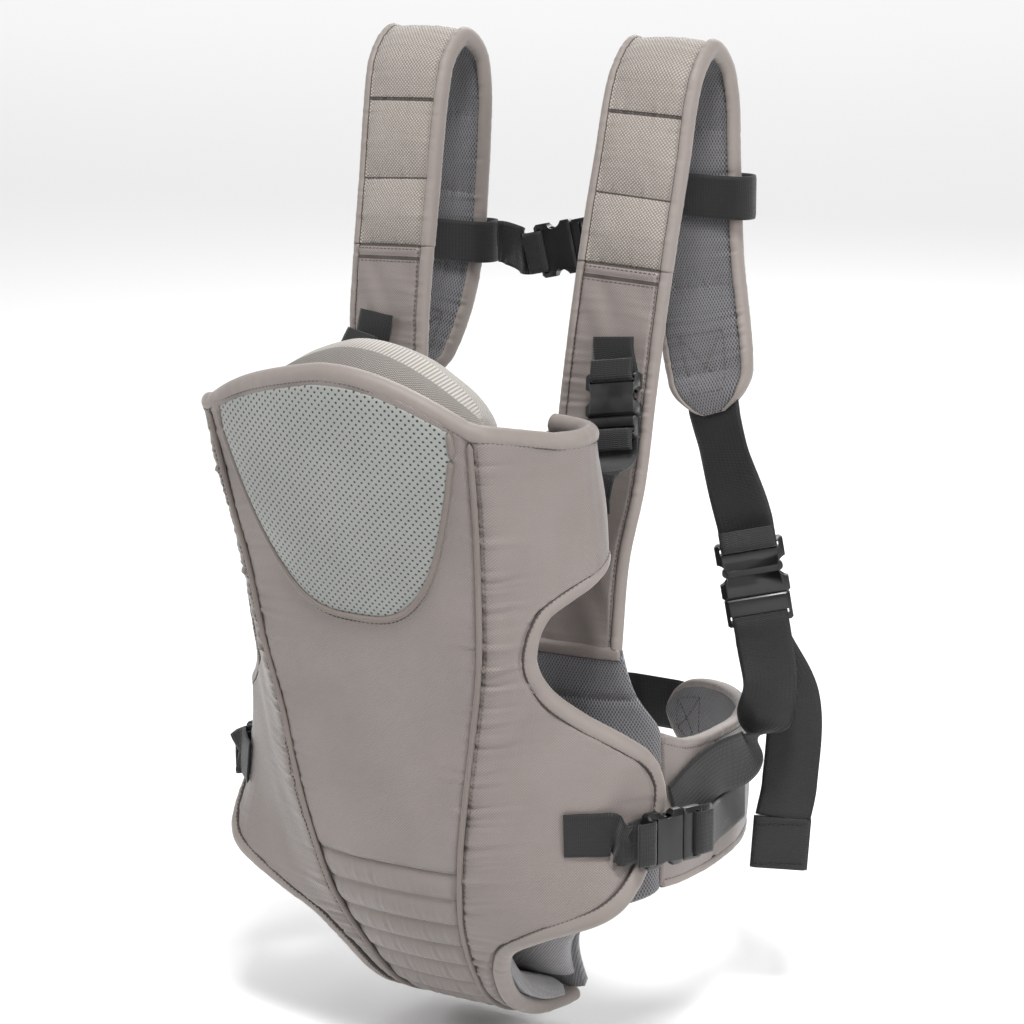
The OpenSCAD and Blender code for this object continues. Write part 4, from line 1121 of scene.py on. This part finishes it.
def rear_webbings(side):
    name = SIDES[side]
    f = rear_at(side)
    loop = fem_loop(f, WIDE)
    pts = [[side * 128.5, 9.5, -255.0], [side * 131.5, 9, -268], [side * 136.0, 14, -292]] + loop
    dirs = [sided(side, [1, 0, 0])] * 3 + [f[2] * side] * 8
    ribbon("rear_strap_webbing_" + name, pts, dirs, WIDE, ["rear_webbing_" + name])
    h = 6.9

    def by_ring(a, z, e):
        return ring(side * a) + [0, 0, z] + ring_out(side * a) * e

    pts = male_loop(f, WIDE, -1) + [
        [side * 164.0, 36, -464], [side * 163.0, 24, -492], by_ring(236.0, -508, h + 14),
        by_ring(204.0, -511, h + 5), by_ring(180.0, -519, h + 1), by_ring(158.0, -529, h + 1.4)]
    dirs = [f[2] * side] * 8 + [sided(side, [0.6, 0.7, 0.4]), sided(side, [0.3, 0.4, 0.85])] + [[0, 0, 1]] * 4
    body = "rear_buckle_half_" + name
    ribbon("rear_lower_webbing_" + name, pts, dirs, WIDE, ["rear_lower_" + name],
           blend=("carrier", body, pts[11], pts[8]))
    length, e = 0.5 * WIDE, BH + 0.4 + WT
    w = np.array(sided(side, [0.86, 0.5, 0]))
    pts = [spot(f, length + 10.4, 0, -e + 1), spot(f, length + 18, 0, -e - 3), [side * 172.0, 56, -478],
           [side * 172.0, 54, -540], np.array([side * 169.0, 50, -566])]
    ribbon("rear_tail_webbing_" + name, pts, [f[2] * side] * 2 + [w] * 3, WIDE, ["rear_tail_" + name], body)
    hem = pts[-1]
    down = np.array([-side * 0.07, 0, -1])
    out = np.array(sided(side, [0.5, -0.86, 0]))
    hem_pts = [hem + down * k for k in (-1.0, 6.0, 14.0, 26.0, 38.0)]
    ribbon("rear_tail_hem_" + name, hem_pts, [w] * 5, WIDE + 1.6, [], body, thick=2.5, wave=0.1)
    y = np.linspace(-17.5, 17.5, 20)[:, None]
    for face in (-1, 1):
        for k in (4.0, 34.0):
            stitch(hem + down * k + w * y + out * (2.5 * face), np.tile(out * face, (20, 1)), body)


def chest_strap():
    f = CHEST
    r = HALF_W + HALF_T + 2.4 + 1.8 + 0.3

    def edge(side):
        z = -114 if side > 0 else -160
        x = lut([[-205, 632], [-162, 590], [-122, 550], [-82, 510]], np.array(float(z)))
        c = np.array([side * lut(STRAP, x, 1), lut(STRAP, x, 2), lut(STRAP, x, 3)])
        return c, c - [side * r, 0, 0]

    for side in (-1, 1):
        name = SIDES[side]
        c, e = edge(side)
        b = HALF_T + 2.4 + 0.9
        # An elastic loop of webbing round the strap: a flat oval, straight along the faces
        flat, bend = 2 * HALF_W, math.pi * b
        laps = np.cumsum([0, flat, bend, flat, bend])
        per = np.linspace(0, laps[-1], 120, endpoint=False)
        g = np.interp(per, laps, np.array([-0.5, -0.5, 0.5, 0.5, 1.5]) * math.pi)
        x = np.interp(per, laps, [-HALF_W, HALF_W, HALF_W, -HALF_W, -HALF_W]) + b * np.cos(g)
        y = b * np.sin(g)
        zs = np.linspace(-NARROW / 2, NARROW / 2, 13)
        squeeze = 0.9 * np.sqrt(np.clip(1 - np.clip((np.abs(zs) - 14) / 1.0, 0, 1) ** 2 * 0.75, 0, 1))
        lift = np.concatenate([-squeeze, squeeze[::-1]]) + 0.5 * wobble(x / 17, y / 5, side)[:, None]
        across = x[:, None] + np.cos(g)[:, None] * lift
        through = y[:, None] - 1.1 + np.sin(g)[:, None] * lift
        rings = c + np.stack([across, through, 0 * lift + np.concatenate([zs, zs[::-1]])], -1)
        ob = closed_loop("chest_keeper_" + name, rings, per, [WEBBING])
        finish_piece(ob, ["keeper_" + name], "chest_strap")
        if side < 0:
            e2 = e + [WT, 0, 0]
            pts2 = [e2, e2 + [5, 0, 0], e2 + [13, 3, -3]] + fem_loop(f, NARROW)
            ribbon("chest_webbing_left_strap", pts2, [[0, 0, 1]] * 3 + [f[2]] * 8, NARROW,
                   ["chest_webbing_left"], "chest_strap")
        else:
            e2 = e - [WT, 0, 0]
            pts2 = male_loop(f, NARROW) + [e2 + [-16, 4, -7], e2 + [-5, 0, 0], e2]
            ribbon("chest_webbing_right_strap", pts2, [f[2]] * 8 + [[0, 0, 1]] * 3, NARROW,
                   ["chest_webbing_right"], blend=("chest_strap", "chest_buckle_half", pts2[9], pts2[7]))


def closed_loop(name, rings, per, mats):
    """A solid whose rings themselves run round in a circle."""
    nr, nl = rings.shape[:2]
    i, j = np.meshgrid(np.arange(nr), np.arange(nl), indexing="ij")
    k, m = (j + 1) % nl, (i + 1) % nr
    quads = np.stack([i * nl + j, i * nl + k, m * nl + k, m * nl + j], -1).reshape(-1, 4)
    half = nl // 2
    u = np.concatenate([np.linspace(-15, 15, half), np.linspace(15, -15, half), [-15]])
    v = np.concatenate([per, [per[-1] * 2 - per[-2]]])
    uv = grid_uv(u[None], v[:, None])
    uvs = np.stack([uv[i, j], uv[i, j + 1], uv[i + 1, j + 1], uv[i + 1, j]], 2).reshape(-1, 2)
    return new_mesh(name, rings.reshape(-1, 3), quads, uvs, np.zeros(len(quads), int), mats)


def belt():
    y = 6 + WT + 0.7
    q = np.concatenate([np.linspace(-340, -440, 40), np.linspace(440, 340, 40)])
    p = ring(q) + ring_out(q) * y
    p[:, 2] = -532
    keep = np.concatenate([[True], np.linalg.norm(np.diff(p, axis=0), axis=1) > 0.4])
    ribbon("belt_webbing", p[keep], np.tile([0, 0, 1.0], (int(keep.sum()), 1)), WIDE, ["waist_belt_webbing"])


# ---------------------------------------------------------------- build everything
pouch_centre()
pouch_ribs()
pouch_lining()
head_pad()
pouch_edges()
headrest()
wearer_side()
crotch_pads()
belt()
chest_strap()
for hand in (-1, 1):
    pouch_wing(hand)
    waist_wing(hand)
    straps(hand)
    shoulder_webbing(hand)
    waist_webbings(hand)
    rear_webbings(hand)
build_stitches(THREAD)

# The moulded buckles keep their CAD shapes, with worn edges
for node, ob in NODES.items():
    if "buckle" in node:
        ob.data.materials.clear()
        ob.data.materials.append(PLASTIC)
        ob.modifiers.new("weld", "WELD").merge_threshold = 0.00001
        edge = ob.modifiers.new("edges", "BEVEL")
        edge.width, edge.segments, edge.limit_method, edge.angle_limit = 0.0006, 3, "ANGLE", math.radians(25)
        edge.harden_normals = False
        ob.data.polygons.foreach_set("use_smooth", np.ones(len(ob.data.polygons), bool))

# ---------------------------------------------------------------- stage and light
floor_me = bpy.data.meshes.new("floor")
size, floor_z = 30.0, float(cad_low[2]) - 0.012
corners = [(-size, -size, floor_z), (size, -size, floor_z), (size, size, floor_z), (-size, size, floor_z)]
floor_me.from_pydata(corners, [], [(0, 1, 2, 3)])
floor = bpy.data.objects.new("floor", floor_me)
scene.collection.objects.link(floor)
pale, _, pale_shader = new_material("pale_floor")
pale_shader.inputs["Base Color"].default_value = (0.9, 0.9, 0.9, 1)
pale_shader.inputs["Roughness"].default_value = 0.9
floor_me.materials.append(pale)

world = bpy.data.worlds.new("studio")
world.use_nodes = True
world.node_tree.nodes["Background"].inputs["Color"].default_value = (1, 1, 1, 1)
world.node_tree.nodes["Background"].inputs["Strength"].default_value = 0.28
scene.world = world


def area(name, place, target, width, power):
    data = bpy.data.lights.new(name, "AREA")
    data.shape = "SQUARE"
    data.size, data.energy = width, power
    ob = bpy.data.objects.new(name, data)
    ob.location = place
    ob.rotation_mode = "QUATERNION"
    ob.rotation_quaternion = (Vector(target) - Vector(place)).to_track_quat("-Z", "Y")
    scene.collection.objects.link(ob)


middle = (cad_low + cad_high) / 2
area("key", (1.0, -1.4, 2.5), middle, 0.8, 112)
area("fill", (-1.9, -1.6, 0.9), middle, 1.0, 22)
area("side", (2.5, -0.8, 0.7), middle, 0.7, 34)
area("back", (-0.6, 2.4, 1.6), middle, 1.4, 40)
area("backdrop", (-6.5, 10.5, 5.5), (-6.5, 10.5, -0.7), 18, 1100)
scene.view_settings.view_transform = "Standard"
scene.view_settings.look = "None"
